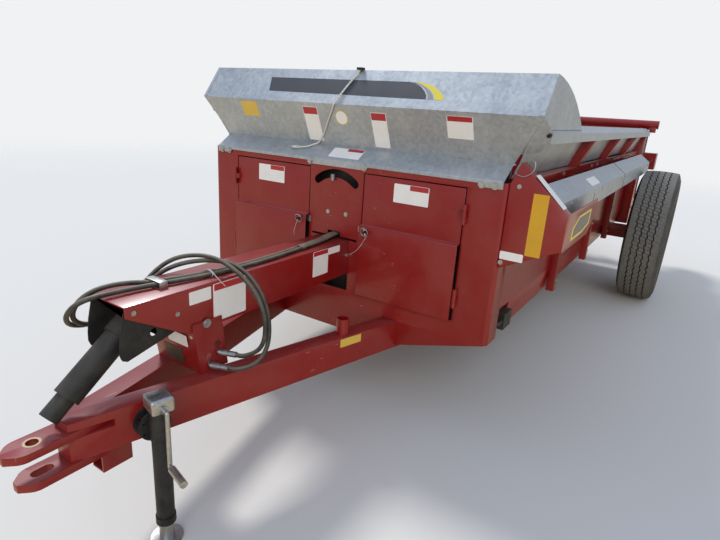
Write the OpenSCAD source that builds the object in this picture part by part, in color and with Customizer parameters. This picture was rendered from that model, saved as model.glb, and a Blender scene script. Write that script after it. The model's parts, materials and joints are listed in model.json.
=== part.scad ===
// Box manure spreader on one axle, parked on its tongue jack.
// X points forward to the hitch, Y to the machine's left, Z up; the ground is at Z = 0.
// Lengths along X are counted from the front shield, then everything is shifted so that
// the origin lies on the ground in the middle of the machine.

/* [Box] */
// Inside length of the box
box_l = 3658; // [3000:10:4300]
// Inside width of the box
box_w = 1524; // [1350:10:1650]
// Height of the floor's top above the ground
floor_z = 690; // [670:5:720]
// Thickness of the floor
floor_t = 20; // [12:1:24]
// Thickness of the side walls and front wall
wall_t = 14; // [8:1:18]
// Height of the top of the side walls
side_top_z = 1165; // [1100:5:1200]
// How far the lower side panels reach above the axle's centre
skirt_up = 63; // [54:1:75]
// How far the lower side panels reach below the axle's centre
skirt_down = 67; // [54:1:85]
// How far the lower side panels lean in
skirt_lean = 14; // [0:1:20]
// Thickness of the sheet metal covers
sheet_t = 4; // [2:0.5:5]

/* [Side flares] */
// How far the flare's rolled top stands outside the wall
flare_out = 82; // [50:1:120]
// How far the flare's rolled top stands above the wall
flare_rise = 203; // [150:1:230]
// Width of the sloping strip on top of the flare
roll_w = 34; // [15:1:45]
// Drop of the sloping strip on top of the flare
roll_drop = 26; // [10:1:35]
// Height of the lip that hangs from the flare
lip_h = 37; // [20:1:60]
// Distance from the shield to the first side stake
stake_x1 = 1060; // [900:10:1100]
// Distance between the side stakes
stake_pitch = 900; // [800:5:910]
// Number of side stakes on each side
stake_count = 3; // [2:1:3]
// Width of a side stake
stake_w = 50; // [40:1:80]
// Depth of a side stake
stake_d = 42; // [25:1:60]

/* [Front shield] */
// How far the front shield reaches beyond the inside of the box
shield_over = 38; // [30:1:60]
// Height of the top of the front shield
shield_top = 1155; // [1140:1:1164]
// Height of the bottom of the front shield
shield_bot = 352; // [340:1:370]
// Half width of the shield's level bottom edge
shield_flat = 350; // [250:5:450]
// Rise of the shield's bottom corners
shield_rise = 135; // [60:5:160]
// Depth of the space behind the front shield
shield_d = 104; // [95:1:130]
// Distance of a door's inner edge from the middle
door_in = 155; // [130:5:180]
// Width of the shield's strip outside a door
door_strip = 170; // [110:5:240]
// Height of the doors' bottom edge
door_bot = 560; // [555:5:600]
// Height of the doors' top edge
door_top = 1115; // [1080:5:1120]
// Height of the step in the doors
door_step_z = 885; // [800:5:950]
// How far the lower part of a door stands proud
door_step = 24; // [10:1:40]
// Gap around a door
door_gap = 5; // [5:1:8]
// Radius of the door hinge pins
door_pin_r = 5; // [3:0.5:7]

/* [Front panel] */
// Height of the front panel's foot at the back of the shelf
panel_foot_z = 1219; // [1200:1:1235]
// Distance of the front panel's foot behind the shield
panel_foot_x = 83; // [70:1:95]
// Height of the front panel's crease
panel_crease_z = 1401; // [1390:1:1440]
// Height of the front panel's upper face above the crease
panel_upper = 150; // [90:1:200]
// Distance of the front panel's top edge behind the shield
panel_top_x = 107; // [60:1:140]
// How far the front panel reaches beyond the walls
panel_over = 108; // [90:1:114]
// Length of the wing that joins the panel to the flare
wing_l = 573; // [300:5:700]
// How far the wing's rear edge bulges
wing_bulge = 40; // [0:1:60]
// Drop of the deep tabs on the shelf's flange
tab_h = 25; // [15:1:30]

/* [Drawbar and hitch] */
// Distance from the shield to the hitch pin
hitch_x = 1379; // [1300:1:1500]
// Radius of the hitch pin hole
pin_r = 16.5; // [12:0.5:20]
// Distance from the pin to the tip of the hitch plates
tip_l = 81; // [60:1:110]
// Thickness of the hitch plates
plate_t = 25.4; // [16:0.1:27]
// Width of the hitch plates
plate_w = 90; // [76:1:110]
// Height of the top of the upper hitch plate
hitch_top_z = 449; // [440:1:460]
// Height of the underside of the drawbar beams
beam_z = 346; // [340:1:352]
// Height of the drawbar beams' section
beam_h = 130; // [120:1:135]
// Width of the drawbar beams' section
beam_w = 76; // [50:1:100]
// Half width over the beams at the shield
beam_out = 373; // [330:1:400]
// Half width over the beams at the nose
nose_hw = 36; // [30:1:44]
// Distance from the shield to the nose of the drawbar
nose_x = 1300; // [1260:1:1310]
// Length of the beams behind the shield
beam_back = 540; // [400:10:700]

/* [Drive line] */
// Height of the drive line's centre in the channel
input_z = 725; // [715:1:735]
// Half width of the channel over the drive line
channel_hw = 90; // [80:1:100]
// Height of the top of the channel
channel_top = 800; // [790:1:805]
// Height of the bottom of the channel's sides
channel_bot = 640; // [630:1:660]
// Distance from the shield to the front of the channel
channel_x = 1131; // [1080:1:1160]
// Thickness of the channel
channel_t = 5; // [3:0.5:8]
// Radius of the drive shafts
shaft_r = 17.5; // [14:0.5:20]
// Distance from the shield to the drive line's front joint
joint_x = 1040; // [1020:1:1060]
// Length of the drive line's front half from its joint
pto_l = 369; // [300:1:400]
// Radius of the guard tube on the drive line's front half
pto_r = 40; // [34:1:42]
// Radius of the guard tube's thinner end
pto_end_r = 29; // [26:1:32]
// How far the drive line's front half droops, in degrees
pto_droop = 38; // [36:0.5:39]
// Radius of the sprockets of the front chain
sprocket_r = 52; // [44:1:54]
// Pitch of the front chain
front_pitch = 40; // [30:1:46]
// Distance of the side shaft outside the walls
side_off = 129; // [127:1:132]
// Height of the side shaft and of the beater
side_z = 1055; // [1040:1:1070]

/* [Jack] */
// Distance from the shield to the jack's swivel
jack_x = 1075; // [1000:5:1150]
// Distance of the jack's tube from the beam
jack_off = 83; // [75:1:100]
// Height of the jack's swivel
jack_z = 405; // [395:1:415]
// Radius of the jack's tube
jack_r = 28.5; // [25:0.5:32]
// Height of the lower end of the jack's tube
jack_bot = 70; // [50:1:120]
// Height of the top of the jack's tube
jack_top = 515; // [480:1:540]

/* [Wheels] */
// Distance from the shield to the axle
axle_x = 2950; // [2700:10:3050]
// Outside radius of the tyres
tyre_r = 527; // [500:1:540]
// Width of the tyres
tyre_w = 279; // [240:1:290]
// Width of the tyres' tread
tread_w = 222; // [180:1:240]
// Radius of the rims' bead seat
rim_r = 286; // [270:1:300]
// Distance of the tyres' middle outside the walls
track_off = 345; // [335:1:384]
// Side of the square axle
axle_s = 100; // [80:1:104]
// Radius of the wheel spindles
spindle_r = 32; // [25:1:38]

/* [Rear] */
// Radius over the beater's paddles
beater_r = 330; // [280:5:340]
// Radius of the beater's drum
drum_r = 84; // [60:1:110]
// Number of paddles along one spiral of the beater
paddle_count = 9; // [6:1:10]
// Distance from the box's rear end to the beater
beater_gap = 496; // [490:2:520]
// Depth of the rear posts
post_d = 80; // [60:1:100]
// Width of the rear posts
post_w = 65; // [50:1:68]
// Height of the top of the rear posts
post_top = 1340; // [1300:5:1360]
// Thickness of the end gate
gate_t = 30; // [20:1:34]
// Radius of the tube along the top of the end gate
gate_tube_r = 38; // [30:1:45]
// How far the end gate lifts
gate_lift = 500; // [300:10:520]
// Radius of the gate cylinders' barrels
barrel_r = 26; // [20:1:28]
// Radius of the gate cylinders' rods
rod_r = 15; // [10:1:18]

/* [Apron] */
// Radius of the apron chain's run round its shafts, to the floor's top
apron_r = 40; // [36:1:42]
// Thickness of the apron chains
chain_t = 20; // [12:1:22]
// Width of the apron chains
chain_w = 40; // [30:1:50]
// Distance of the apron chains from the middle
chain_y = 600; // [400:10:630]
// Height of the apron's slats
slat_h = 30; // [20:1:34]
// Number of slats on the apron's upper run
slat_count = 10; // [6:1:12]
// Pitch of the apron chains
apron_pitch = 80; // [60:1:90]

/* [Hidden] */

$fn = 48;
eps = 0.01;
fit = 0.05;
seat = 0.3;

box_hw = box_w / 2;
wall_hw = box_hw + wall_t;
shield_hw = box_hw + shield_over;
door_out = shield_hw - door_strip;
panel_hw = wall_hw + panel_over;
side_y = wall_hw + side_off;
track_y = wall_hw + track_off;
front_x = -shield_d;
inner_x = front_x - wall_t;
rear_x = inner_x - box_l;
floor_bot = floor_z - floor_t;
crease_z = tyre_r + skirt_up;
skirt_z = tyre_r - skirt_down;

// Rear frame and beater, counted from the box's rear end
plate_back = rear_x - 10;
post_x = plate_back - post_d;
post_in = wall_hw + 24;
post_out = post_in + post_w;
gate_x = post_x - 5;
guide_x = gate_x - gate_t - 7;
guide_back = guide_x - 8;
cyl_x = guide_back - 11 - barrel_r;
cyl_y = post_in + 45;
beater_x = rear_x - beater_gap;
end_plate_y = wall_hw + 14;
end_plate_r = beater_r + 30;
machine_front = hitch_x + tip_l;
panel_top_z = panel_crease_z + panel_upper;
machine_rear = beater_x - end_plate_r;
mid_x = (machine_front + machine_rear) / 2;

module placed() translate([-mid_x, 0, 0]) children();
module both_sides() {
    children();
    mirror([0, 1, 0]) children();
}

// A box between two corners
module block(low, high) translate(low) cube(high - low);

// An outline drawn in X and Z, as thick as from y0 to y1
module across(y0, y1) translate([0, y1, 0]) rotate([90, 0, 0]) linear_extrude(y1 - y0) children();

// An outline drawn in Y and Z, as thick as from x0 to x1
module along(x0, x1) translate([x0, 0, 0]) rotate([90, 0, 90]) linear_extrude(x1 - x0) children();

// A round bar along Y
module bar_y(r, y0, y1, x, z) translate([x, y0, z]) rotate([-90, 0, 0]) cylinder(r = r, h = y1 - y0);

// A round bar along X
module bar_x(r, x0, x1, y, z) translate([x0, y, z]) rotate([0, 90, 0]) cylinder(r = r, h = x1 - x0);

// Outline of a bent sheet: its outer line, and the same line moved in by the sheet's thickness
function unit(v) = v / norm(v);
function left_of(v) = [-v[1], v[0]];
function miter(a, b, c, t) = let (n1 = left_of(unit(b - a)), n2 = left_of(unit(c - b)), m = unit(n1 + n2))
    b + m * t / (m * n1);
function offset_line(p, t) = [for (i = [0:len(p) - 1])
    i == 0 ? p[0] + left_of(unit(p[1] - p[0])) * t :
    i == len(p) - 1 ? p[i] + left_of(unit(p[i] - p[i - 1])) * t :
    miter(p[i - 1], p[i], p[i + 1], t)];
function reversed(p) = [for (i = [len(p) - 1:-1:0]) p[i]];
module bent(p, t) polygon(concat(p, reversed(offset_line(p, t))));

// Outline of a chain round two equal wheels that stand the distance l apart: each link is
// link_h thick, and the gap after it is thinner
function loop_l(l, r) = 2 * l + 2 * PI * r;
function loop_point(l, r, s) =
    s < l ? [[s, r], [0, 1]] :
    s < l + PI * r ? let (a = (s - l) / r * 180 / PI) [[l + r * sin(a), r * cos(a)], [sin(a), cos(a)]] :
    s < 2 * l + PI * r ? [[2 * l + PI * r - s, -r], [0, -1]] :
    let (a = (s - 2 * l - PI * r) / r * 180 / PI) [[-r * sin(a), -r * cos(a)], [-sin(a), -cos(a)]];
link_steps = [[0, 1], [0.62, 1], [0.62, 0.55], [1, 0.55]];
module chain_outline(l, r, link_h, wanted_pitch) {
    count = round(loop_l(l, r) / wanted_pitch);
    pitch = loop_l(l, r) / count;
    difference() {
        polygon([for (i = [0:count - 1], k = link_steps)
            let (q = loop_point(l, r, (i + k[0] * 0.999) * pitch)) q[0] + q[1] * link_h * k[1]]);
        for (x = [0, l]) translate([x, 0]) circle(r = r);
        translate([0, -r]) square([l, 2 * r]);
    }
}

// Drawbar: two beams that meet at the nose
beam_slope = (beam_out - nose_hw) / nose_x;
beam_ang = atan(beam_slope);
beam_top = beam_z + beam_h;
function beam_y(x) = nose_hw + beam_slope * (nose_x - x);
beam_in = beam_w / cos(beam_ang);
join_x = nose_x - (beam_in - nose_hw) / beam_slope;
plate_end = join_x + 40;
function beam_corners(s) = [[nose_x, s * nose_hw], [-beam_back, s * beam_y(-beam_back)],
    [-beam_back, s * (beam_y(-beam_back) - beam_in)], [join_x, s]];
module beams_outline() polygon(concat(beam_corners(1), reversed(beam_corners(-1))));
module drawbar() color("firebrick") difference() {
    translate([0, 0, beam_z]) linear_extrude(beam_h) beams_outline();
    block([plate_end, -plate_w, hitch_top_z - plate_t], [nose_x + 1, plate_w, hitch_top_z]);
}

// Hitch plates: the upper one has the pin hole, the lower one a slot
tip_chamfer = 34;
slot_l = 30;
lower_short = 24;
module hitch_outline(back, tip) polygon([[back, -plate_w / 2], [tip - tip_chamfer, -plate_w / 2],
    [tip, -plate_w / 2 + tip_chamfer], [tip, plate_w / 2 - tip_chamfer],
    [tip - tip_chamfer, plate_w / 2], [back, plate_w / 2]]);
module hitch_clevis() color("indianred") {
    difference() {
        translate([0, 0, hitch_top_z - plate_t]) linear_extrude(plate_t)
            hitch_outline(plate_end, machine_front);
        translate([hitch_x, 0, hitch_top_z - plate_t - 1]) cylinder(r = pin_r, h = plate_t + 2);
    }
    difference() {
        translate([0, 0, beam_z - plate_t]) linear_extrude(plate_t)
            hitch_outline(plate_end - 80, machine_front - lower_short);
        for (dx = [-slot_l, 0]) translate([hitch_x + dx, 0, beam_z - plate_t - 1])
            cylinder(r = pin_r, h = plate_t + 2);
        block([hitch_x - slot_l, -pin_r, beam_z - plate_t - 1], [hitch_x, pin_r, beam_z + 1]);
    }
    difference() {
        block([plate_end - 70, -30, beam_z - plate_t - 70], [plate_end + 30, 30, beam_z - plate_t]);
        block([plate_end - 71, -24, beam_z - plate_t - 64], [plate_end + 31, 24, beam_z - plate_t - 6]);
    }
}

// Socket tube on the left beam for the jack in transport
stub_x = 268;
stub_r = 27;
stub_h = 70;
module stub_tube() color("firebrick") translate([stub_x, beam_y(stub_x) - beam_in / 2, beam_top])
    difference() {
        cylinder(r = stub_r, h = stub_h);
        translate([0, 0, -1]) cylinder(r = stub_r - 5, h = stub_h + 2);
    }

// Post that carries the channel on the drawbar
post_foot = [751, 870];
post_head = [776, 900];
post_side_t = 6;
post_hw = channel_hw + post_side_t;
post_wing = 48;
keyhole = [[795, 568], [834, 532]];
keyhole_r = 15;
slot_w = 14;
neck_drop = 30;
module post_side() difference() {
    polygon([[post_foot[0], beam_top], [post_foot[1], beam_top], [post_head[1], channel_bot + 15],
        [post_head[1], channel_bot + 30], [post_head[0], channel_bot + 30]]);
    for (k = keyhole) {
        translate(k) circle(r = keyhole_r);
        translate(k - [slot_w / 2, neck_drop]) square([slot_w, neck_drop]);
        translate(k - [0, neck_drop]) circle(r = slot_w / 2);
    }
}
module pto_post() color("firebrick") {
    both_sides() across(channel_hw, post_hw) post_side();
    across(-channel_hw - post_wing, channel_hw) polygon([[post_foot[1] - post_side_t, beam_top],
        [post_foot[1], beam_top], [post_head[1] - 4, channel_bot - 2],
        [post_head[1] - 4 - post_side_t, channel_bot - 2]]);
    block([post_foot[0], -channel_hw, beam_top], [post_foot[1] - 1, channel_hw, beam_top + post_side_t]);
}

// Channel over the drive line, with its sides cut obliquely at the front; its rear end stands in
// the shield's opening
channel_tip = 34;
channel_cut = 221;
channel_rear = -20;
module pto_channel() color("firebrick") difference() {
    across(-channel_hw, channel_hw) polygon([[channel_rear, channel_bot],
        [channel_x - channel_cut, channel_bot], [channel_x, channel_top - channel_tip],
        [channel_x, channel_top], [channel_rear, channel_top]]);
    across(-channel_hw + channel_t, channel_hw - channel_t) translate([channel_rear - 1, channel_bot - 1])
        square([channel_x - channel_rear + 2, channel_top - channel_bot - channel_t + 1]);
}

// Black guard below the channel's front end, open at the front and slit below for the guard tube
guard_t = 4;
guard_hw = channel_hw - channel_t - seat;
guard_top = channel_top - channel_t - seat;
guard_heel = [channel_x - 191, channel_bot + 32];
guard_nose = [[channel_x - 3, guard_top], [channel_x + 14, channel_bot + 84],
    [channel_x + 20, channel_bot + 40], [channel_x + 21, channel_bot + 12],
    [channel_x + 14, channel_bot - 6], [channel_x - 2, channel_bot - 14]];
guard_toe = guard_nose[5];
guard_end = channel_x + 30;
guard_slit_x = channel_x - 130;
guard_slit_hw = 56;
guard_hole = [channel_x - 95, channel_bot + 52];
guard_hole_r = 13;
module pto_guard() color("#26282a") difference() {
    across(-guard_hw, guard_hw) polygon(concat([[guard_heel[0], guard_top]], guard_nose, [guard_heel]));
    across(-guard_hw + guard_t, guard_hw - guard_t) translate([0, guard_t]) polygon([
        [guard_heel[0] - 1, guard_top - 2 * guard_t], [guard_heel[0] - 1, guard_heel[1]], guard_heel,
        guard_toe, [guard_end, guard_toe[1]], [guard_end, guard_top - 2 * guard_t]]);
    block([guard_slit_x, -guard_slit_hw, guard_toe[1] - 1],
        [guard_end, guard_slit_hw, guard_heel[1] + guard_t]);
    across(guard_hw - guard_t - 1, guard_hw + 1) translate(guard_hole) circle(r = guard_hole_r);
}

// Front half of the drive line, drawn along +X from its joint: guard tube with its bell, shaft and
// the yoke whose two ears turn on the cross
ear_in = 20;
ear_t = 11;
ear_r = 15;
ear_l = 44;
yoke_t = 14;
cross_r = 8;
bell_r = 47;
bell_x = [24, 84];
pto_end_l = 70;
module ears() {
    both_sides() {
        bar_y(ear_r, ear_in, ear_in + ear_t, 0, 0);
        block([0, ear_in, -ear_r], [ear_l, ear_in + ear_t, ear_r]);
    }
    block([ear_l, -ear_in - ear_t, -ear_r], [ear_l + yoke_t, ear_in + ear_t, ear_r]);
}
module pto_shaft() color("#303234") translate([joint_x, 0, input_z]) rotate([0, pto_droop, 0]) difference() {
    union() {
        ears();
        bar_x(shaft_r, ear_l + yoke_t - 1, bell_x[1], 0, 0);
        difference() {
            union() {
                bar_x(pto_r, bell_x[1] - 8, pto_l - pto_end_l, 0, 0);
                bar_x(pto_end_r, pto_l - pto_end_l - 1, pto_l, 0, 0);
            }
            bar_x(pto_end_r - 5, pto_l - 120, pto_l + 1, 0, 0);
        }
        difference() {
            bar_x(bell_r, bell_x[0], bell_x[1], 0, 0);
            bar_x(bell_r - 4, bell_x[0] - 1, bell_x[1] - 6, 0, 0);
        }
    }
    bar_y(cross_r + fit, -ear_in - ear_t - 1, ear_in + ear_t + 1, 0, 0);
}

// Drive line inside the channel, from the joint's cross to the front chain's sprocket, and the
// bearings that carry it
sprocket_x = -shield_d / 2;
sprocket_t = 14;
bearing_back = 140;
bearing_x = [500, joint_x - bearing_back];
wall_bearing_t = 24;
module input_shaft() color("#6d6f72") {
    translate([joint_x, 0, input_z]) {
        rotate([90, 0, 0]) mirror([1, 0, 0]) ears();
        bar_y(cross_r, -ear_in - ear_t, ear_in + ear_t, 0, 0);
        translate([0, 0, -ear_in - ear_t]) cylinder(r = cross_r, h = 2 * (ear_in + ear_t));
    }
    bar_x(shaft_r, front_x + seat, joint_x - ear_l - yoke_t + 1, 0, input_z);
    bar_x(sprocket_r, sprocket_x - sprocket_t / 2, sprocket_x + sprocket_t / 2, 0, input_z);
    for (x = bearing_x) difference() {
        block([x - 20, -channel_hw + channel_t, input_z - 32],
            [x + 20, channel_hw - channel_t, input_z + 30]);
        bar_x(shaft_r - eps, x - 21, x + 21, 0, input_z);
    }
    difference() {
        block([front_x, -45, input_z - 45], [front_x + wall_bearing_t, 45, input_z + 45]);
        bar_x(shaft_r - eps, front_x - 1, front_x + wall_bearing_t + 1, 0, input_z);
    }
}

// Front chain, from the input shaft to the side shaft
drive_chain_t = 12;
drive_chain_w = 16;
module drive_chain() color("#4b4d50") {
    rise = side_z - input_z;
    translate([sprocket_x - drive_chain_w / 2, 0, input_z]) rotate([atan(rise / side_y), 0, 0])
        rotate([90, 0, 90]) linear_extrude(drive_chain_w)
            chain_outline(norm([side_y, rise]), sprocket_r + seat, drive_chain_t - seat, front_pitch);
}

// Jack, drawn from its swivel on the outer face of the left beam; its Y points away from the beam
module at_jack() translate([jack_x, beam_y(jack_x), 0]) rotate([0, 0, -beam_ang]) children();
mount_r = 55;
mount_t = 8;
mount_holes = 6;
stub_out = 34;
module lock_holes() for (i = [0:mount_holes - 1]) rotate([0, (i + 0.5) * 360 / mount_holes, 0])
    translate([mount_r - 15, 0, 0]) rotate([90, 0, 0]) cylinder(r = 6, h = 100, center = true);
module jack_mount() color("#3a3c3e") at_jack() difference() {
    union() {
        bar_y(mount_r, fit, mount_t, 0, jack_z);
        bar_y(24, mount_t, stub_out, 0, jack_z);
    }
    translate([0, 0, jack_z]) lock_holes();
}
jack_wall = 5;
lug_hw = 22;
lug_hh = 40;
collar_t = 3;
collar_h = 26;
module jack_tube() color("#3a3c3e") at_jack() difference() {
    union() {
        difference() {
            bar_y(mount_r - 4, stub_out + seat, stub_out + seat + mount_t, 0, jack_z);
            translate([0, 0, jack_z]) lock_holes();
        }
        block([-lug_hw, stub_out + seat + mount_t, jack_z - lug_hh], [lug_hw, jack_off, jack_z + lug_hh]);
        translate([0, jack_off, jack_bot]) cylinder(r = jack_r, h = jack_top - jack_bot);
        translate([0, jack_off, jack_bot]) cylinder(r = jack_r + collar_t, h = collar_h);
    }
    translate([0, jack_off, jack_bot - 1]) cylinder(r = jack_r - jack_wall, h = jack_top - jack_bot - 20);
}
cap_hw = 36;
cap_h = 46;
cap_rise = 20;
crank_z = jack_top - 14;
crank_y = jack_off + cap_hw + 24;
crank_drop = 186;
crank_r = 7;
grip_r = 12;
grip_l = 86;
module jack_cap() color("#b9bcbd") at_jack() {
    difference() {
        block([-cap_hw, jack_off - cap_hw, jack_top - cap_h + cap_rise],
            [cap_hw, jack_off + cap_hw, jack_top + cap_rise]);
        translate([0, jack_off, jack_top - cap_h + cap_rise - 1])
            cylinder(r = jack_r, h = cap_h - cap_rise + 1);
    }
    bar_y(13, jack_off + cap_hw, jack_off + cap_hw + 5, 0, crank_z);
    bar_y(crank_r, jack_off + cap_hw, crank_y, 0, crank_z);
    translate([0, crank_y, crank_z]) sphere(r = crank_r);
    translate([0, crank_y, crank_z - crank_drop]) cylinder(r = crank_r, h = crank_drop);
    translate([0, crank_y, crank_z - crank_drop]) sphere(r = crank_r);
    bar_y(crank_r, crank_y, crank_y + 14, 0, crank_z - crank_drop);
    bar_y(grip_r, crank_y + 14, crank_y + 14 + grip_l, 0, crank_z - crank_drop);
}
foot_r = 51;
foot_t = 8;
leg_stop = 80;
module jack_leg() color("#b9bcbd") at_jack() translate([0, jack_off, 0]) {
    cylinder(r = foot_r, h = foot_t);
    translate([0, 0, foot_t]) cylinder(r = jack_r - jack_wall - fit, h = jack_top - leg_stop - foot_t);
}

// Front shield: a shallow tray that stands in front of the box
shield_corner = 20;
module tray(hw, depth, r) {
    translate([-depth, -hw]) square([depth - r, 2 * hw]);
    translate([-depth, -hw + r]) square([depth, 2 * (hw - r)]);
    for (s = [-1, 1]) translate([-r, s * (hw - r)]) circle(r = r);
}
module shield_front() polygon([[-shield_hw, shield_bot + shield_rise], [-shield_flat, shield_bot],
    [shield_flat, shield_bot], [shield_hw, shield_bot + shield_rise], [shield_hw, shield_top],
    [-shield_hw, shield_top]]);

// Openings of the shield: slit and hose gate above the channel, curved slot of the speed lever and
// the front chain's window
slit_hw = door_in - door_gap - 20;
slit_h = 10;
hose_gate_hw = 36;
hose_gate_h = 32;
lever_z = 935;
lever_r = 165;
lever_arc = 40;
lever_w = 38;
lever_end_r = lever_w / 2 - 1;
chain_gate_w = 32;
chain_gate_h = 160;
chain_gate_z = input_z + (side_z - input_z) * shield_hw / side_y;
module lever_slot() {
    intersection() {
        difference() {
            circle(r = lever_r + lever_w / 2);
            circle(r = lever_r - lever_w / 2);
        }
        polygon([[0, 0], [-lever_r * 2 * tan(lever_arc), lever_r * 2],
            [lever_r * 2 * tan(lever_arc), lever_r * 2]]);
    }
    for (s = [-1, 1]) rotate(-s * lever_arc) translate([0, lever_r]) circle(r = lever_end_r);
}
hinge_x = 14;
hinge_y = door_out + 10;
hinge_z = [door_bot + 60, door_top - 140];
hinge_h = 80;
module shield_hinge(z) {
    for (z0 = [z, z + hinge_h * 2 / 3]) {
        translate([hinge_x, hinge_y, z0]) cylinder(r = door_pin_r + 4, h = hinge_h / 3);
        block([0, hinge_y + door_pin_r, z0], [hinge_x, hinge_y + door_pin_r + 4, z0 + hinge_h / 3]);
    }
    translate([hinge_x, hinge_y, z]) cylinder(r = door_pin_r, h = hinge_h);
}
module front_shield() color("firebrick") {
    difference() {
        intersection() {
            translate([0, 0, shield_bot]) linear_extrude(shield_top - shield_bot) difference() {
                tray(shield_hw, shield_d, shield_corner);
                intersection() {
                    translate([-sheet_t, 0])
                        tray(shield_hw - sheet_t, shield_d - 2 * sheet_t, shield_corner - sheet_t);
                    translate([-shield_d + sheet_t, -shield_hw]) square([shield_d, 2 * shield_hw]);
                }
                translate([-shield_d - 1, -wall_hw + wall_t]) square([sheet_t + 2, 2 * (wall_hw - wall_t)]);
            }
            along(-shield_d, 0) shield_front();
        }
        both_sides() along(-sheet_t - 1, 1) translate([door_in - door_gap, door_bot - door_gap])
            square([door_out - door_in + 2 * door_gap, door_top - door_bot + 2 * door_gap]);
        along(-sheet_t - 1, 1) {
            translate([-channel_hw - seat, door_bot - door_gap])
                square([2 * (channel_hw + seat), channel_top - door_bot + door_gap + seat]);
            translate([-slit_hw, channel_top]) square([2 * slit_hw, slit_h]);
            translate([-hose_gate_hw, channel_top]) square([2 * hose_gate_hw, hose_gate_h]);
            translate([0, lever_z]) lever_slot();
        }
        block([sprocket_x - chain_gate_w / 2, shield_hw - sheet_t - 1, chain_gate_z - chain_gate_h / 2],
            [sprocket_x + chain_gate_w / 2, shield_hw + 1, chain_gate_z + chain_gate_h / 2]);
        translate([0, 0, beam_z - 1]) linear_extrude(beam_h + 2) difference() {
            beams_outline();
            translate([-front_x, -shield_hw]) square([nose_x, 2 * shield_hw]);
        }
    }
    both_sides() for (z = hinge_z) shield_hinge(z);
}

// Doors: a bent sheet whose lower part stands proud, hinged at its outer edge
door_line = [[0, door_top], [0, door_step_z + 7], [door_step, door_step_z], [door_step, door_bot]];
module door() {
    across(door_in, door_out) bent(reversed(door_line), sheet_t);
    for (z = hinge_z) difference() {
        union() {
            translate([hinge_x, hinge_y, z + hinge_h / 3 + 1])
                cylinder(r = door_pin_r + 4, h = hinge_h / 3 - 2);
            block([-sheet_t, door_out - 12, z + hinge_h / 3 + 1],
                [z < door_step_z ? door_step : hinge_x, door_out, z + hinge_h * 2 / 3 - 1]);
            block([hinge_x - 4, door_out - 2, z + hinge_h / 3 + 1],
                [hinge_x, hinge_y, z + hinge_h * 2 / 3 - 1]);
        }
        translate([hinge_x, hinge_y, z]) cylinder(r = door_pin_r + fit, h = hinge_h);
    }
}
module door_left() color("firebrick") door();
module door_right() color("firebrick") mirror([0, 1, 0]) door();

// Front wall of the box
module front_wall() color("#a9adb0")
    block([inner_x, -box_hw, cross_bot + 4], [front_x, box_hw, panel_foot_z - sheet_t]);

// Galvanised shelf over the shield, with a flange whose deep tabs are bolted to the shield
shelf_hw = wall_hw - seat;
tab_end = 90;
tab_mid = 160;
tab_slope = 14;
flange_h = 10;
module shelf() color("#b7c0c8") {
    across(-shelf_hw, shelf_hw) bent([[sheet_t, shield_top - flange_h], [sheet_t, shield_top + sheet_t],
        [-panel_foot_x, panel_foot_z], [inner_x, panel_foot_z]], sheet_t);
    along(0, sheet_t) for (s = [-1, 1]) {
        polygon([[s * (shelf_hw - tab_end), shield_top - flange_h], [s * (shelf_hw - tab_end + tab_slope),
            shield_top - tab_h], [s * shelf_hw, shield_top - tab_h], [s * shelf_hw, shield_top - flange_h]]);
    }
    along(0, sheet_t) polygon([[-tab_mid, shield_top - flange_h], [-tab_mid + tab_slope, shield_top - tab_h],
        [tab_mid - tab_slope, shield_top - tab_h], [tab_mid, shield_top - flange_h]]);
}

// The flare's outline, from the wall's top round its rolled top to the lip
flare_line = [[wall_hw, side_top_z], [wall_hw + flare_out, side_top_z + flare_rise],
    [wall_hw + flare_out + roll_w, side_top_z + flare_rise - roll_drop],
    [wall_hw + flare_out + roll_w, side_top_z + flare_rise - roll_drop - lip_h]];
flare_under = offset_line(flare_line, -seat);
wing_z = side_top_z + flare_rise - roll_drop * (panel_over - sheet_t - flare_out) / roll_w
    + sheet_t * norm([roll_w, roll_drop]) / roll_w + seat;

// Galvanised front panel: leans forward to its crease, then back to its top edge
panel_line = [[-panel_foot_x, panel_foot_z], [0, panel_crease_z], [-panel_top_x, panel_top_z]];
panel_back = sheet_t * norm(panel_line[1] - panel_line[0]) / (panel_crease_z - panel_foot_z) + seat;
wing_steps = 8;
wing_tail = [-panel_top_x - wing_l, wing_z];
wing_edge = [for (i = [0:wing_steps]) let (t = i / wing_steps)
    panel_line[2] * (1 - t) + wing_tail * t
        - left_of(unit(wing_tail - panel_line[2])) * wing_bulge * 4 * t * (1 - t)];
module front_panel() color("#b7c0c8") {
    both_sides() across(panel_hw - sheet_t, panel_hw)
        polygon(concat(wing_edge, [[front_x, wing_z], [-sheet_t, panel_crease_z]]));
    intersection() {
        across(-panel_hw, panel_hw) bent(panel_line, sheet_t);
        along(-shield_d - 20, 20) polygon([[-wall_hw, panel_foot_z], [-panel_hw, panel_crease_z],
            [-panel_hw, panel_top_z + 10], [panel_hw, panel_top_z + 10], [panel_hw, panel_crease_z],
            [wall_hw, panel_foot_z]]);
    }
}

// Floor
idler_in = 104;
drive_in = 114;
idler_x = inner_x - idler_in;
drive_x = rear_x + drive_in;
module floor_pan() color("#8c6f4e")
    block([drive_x + 45, -box_hw, floor_bot], [idler_x - 45, box_hw, floor_z]);

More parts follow.
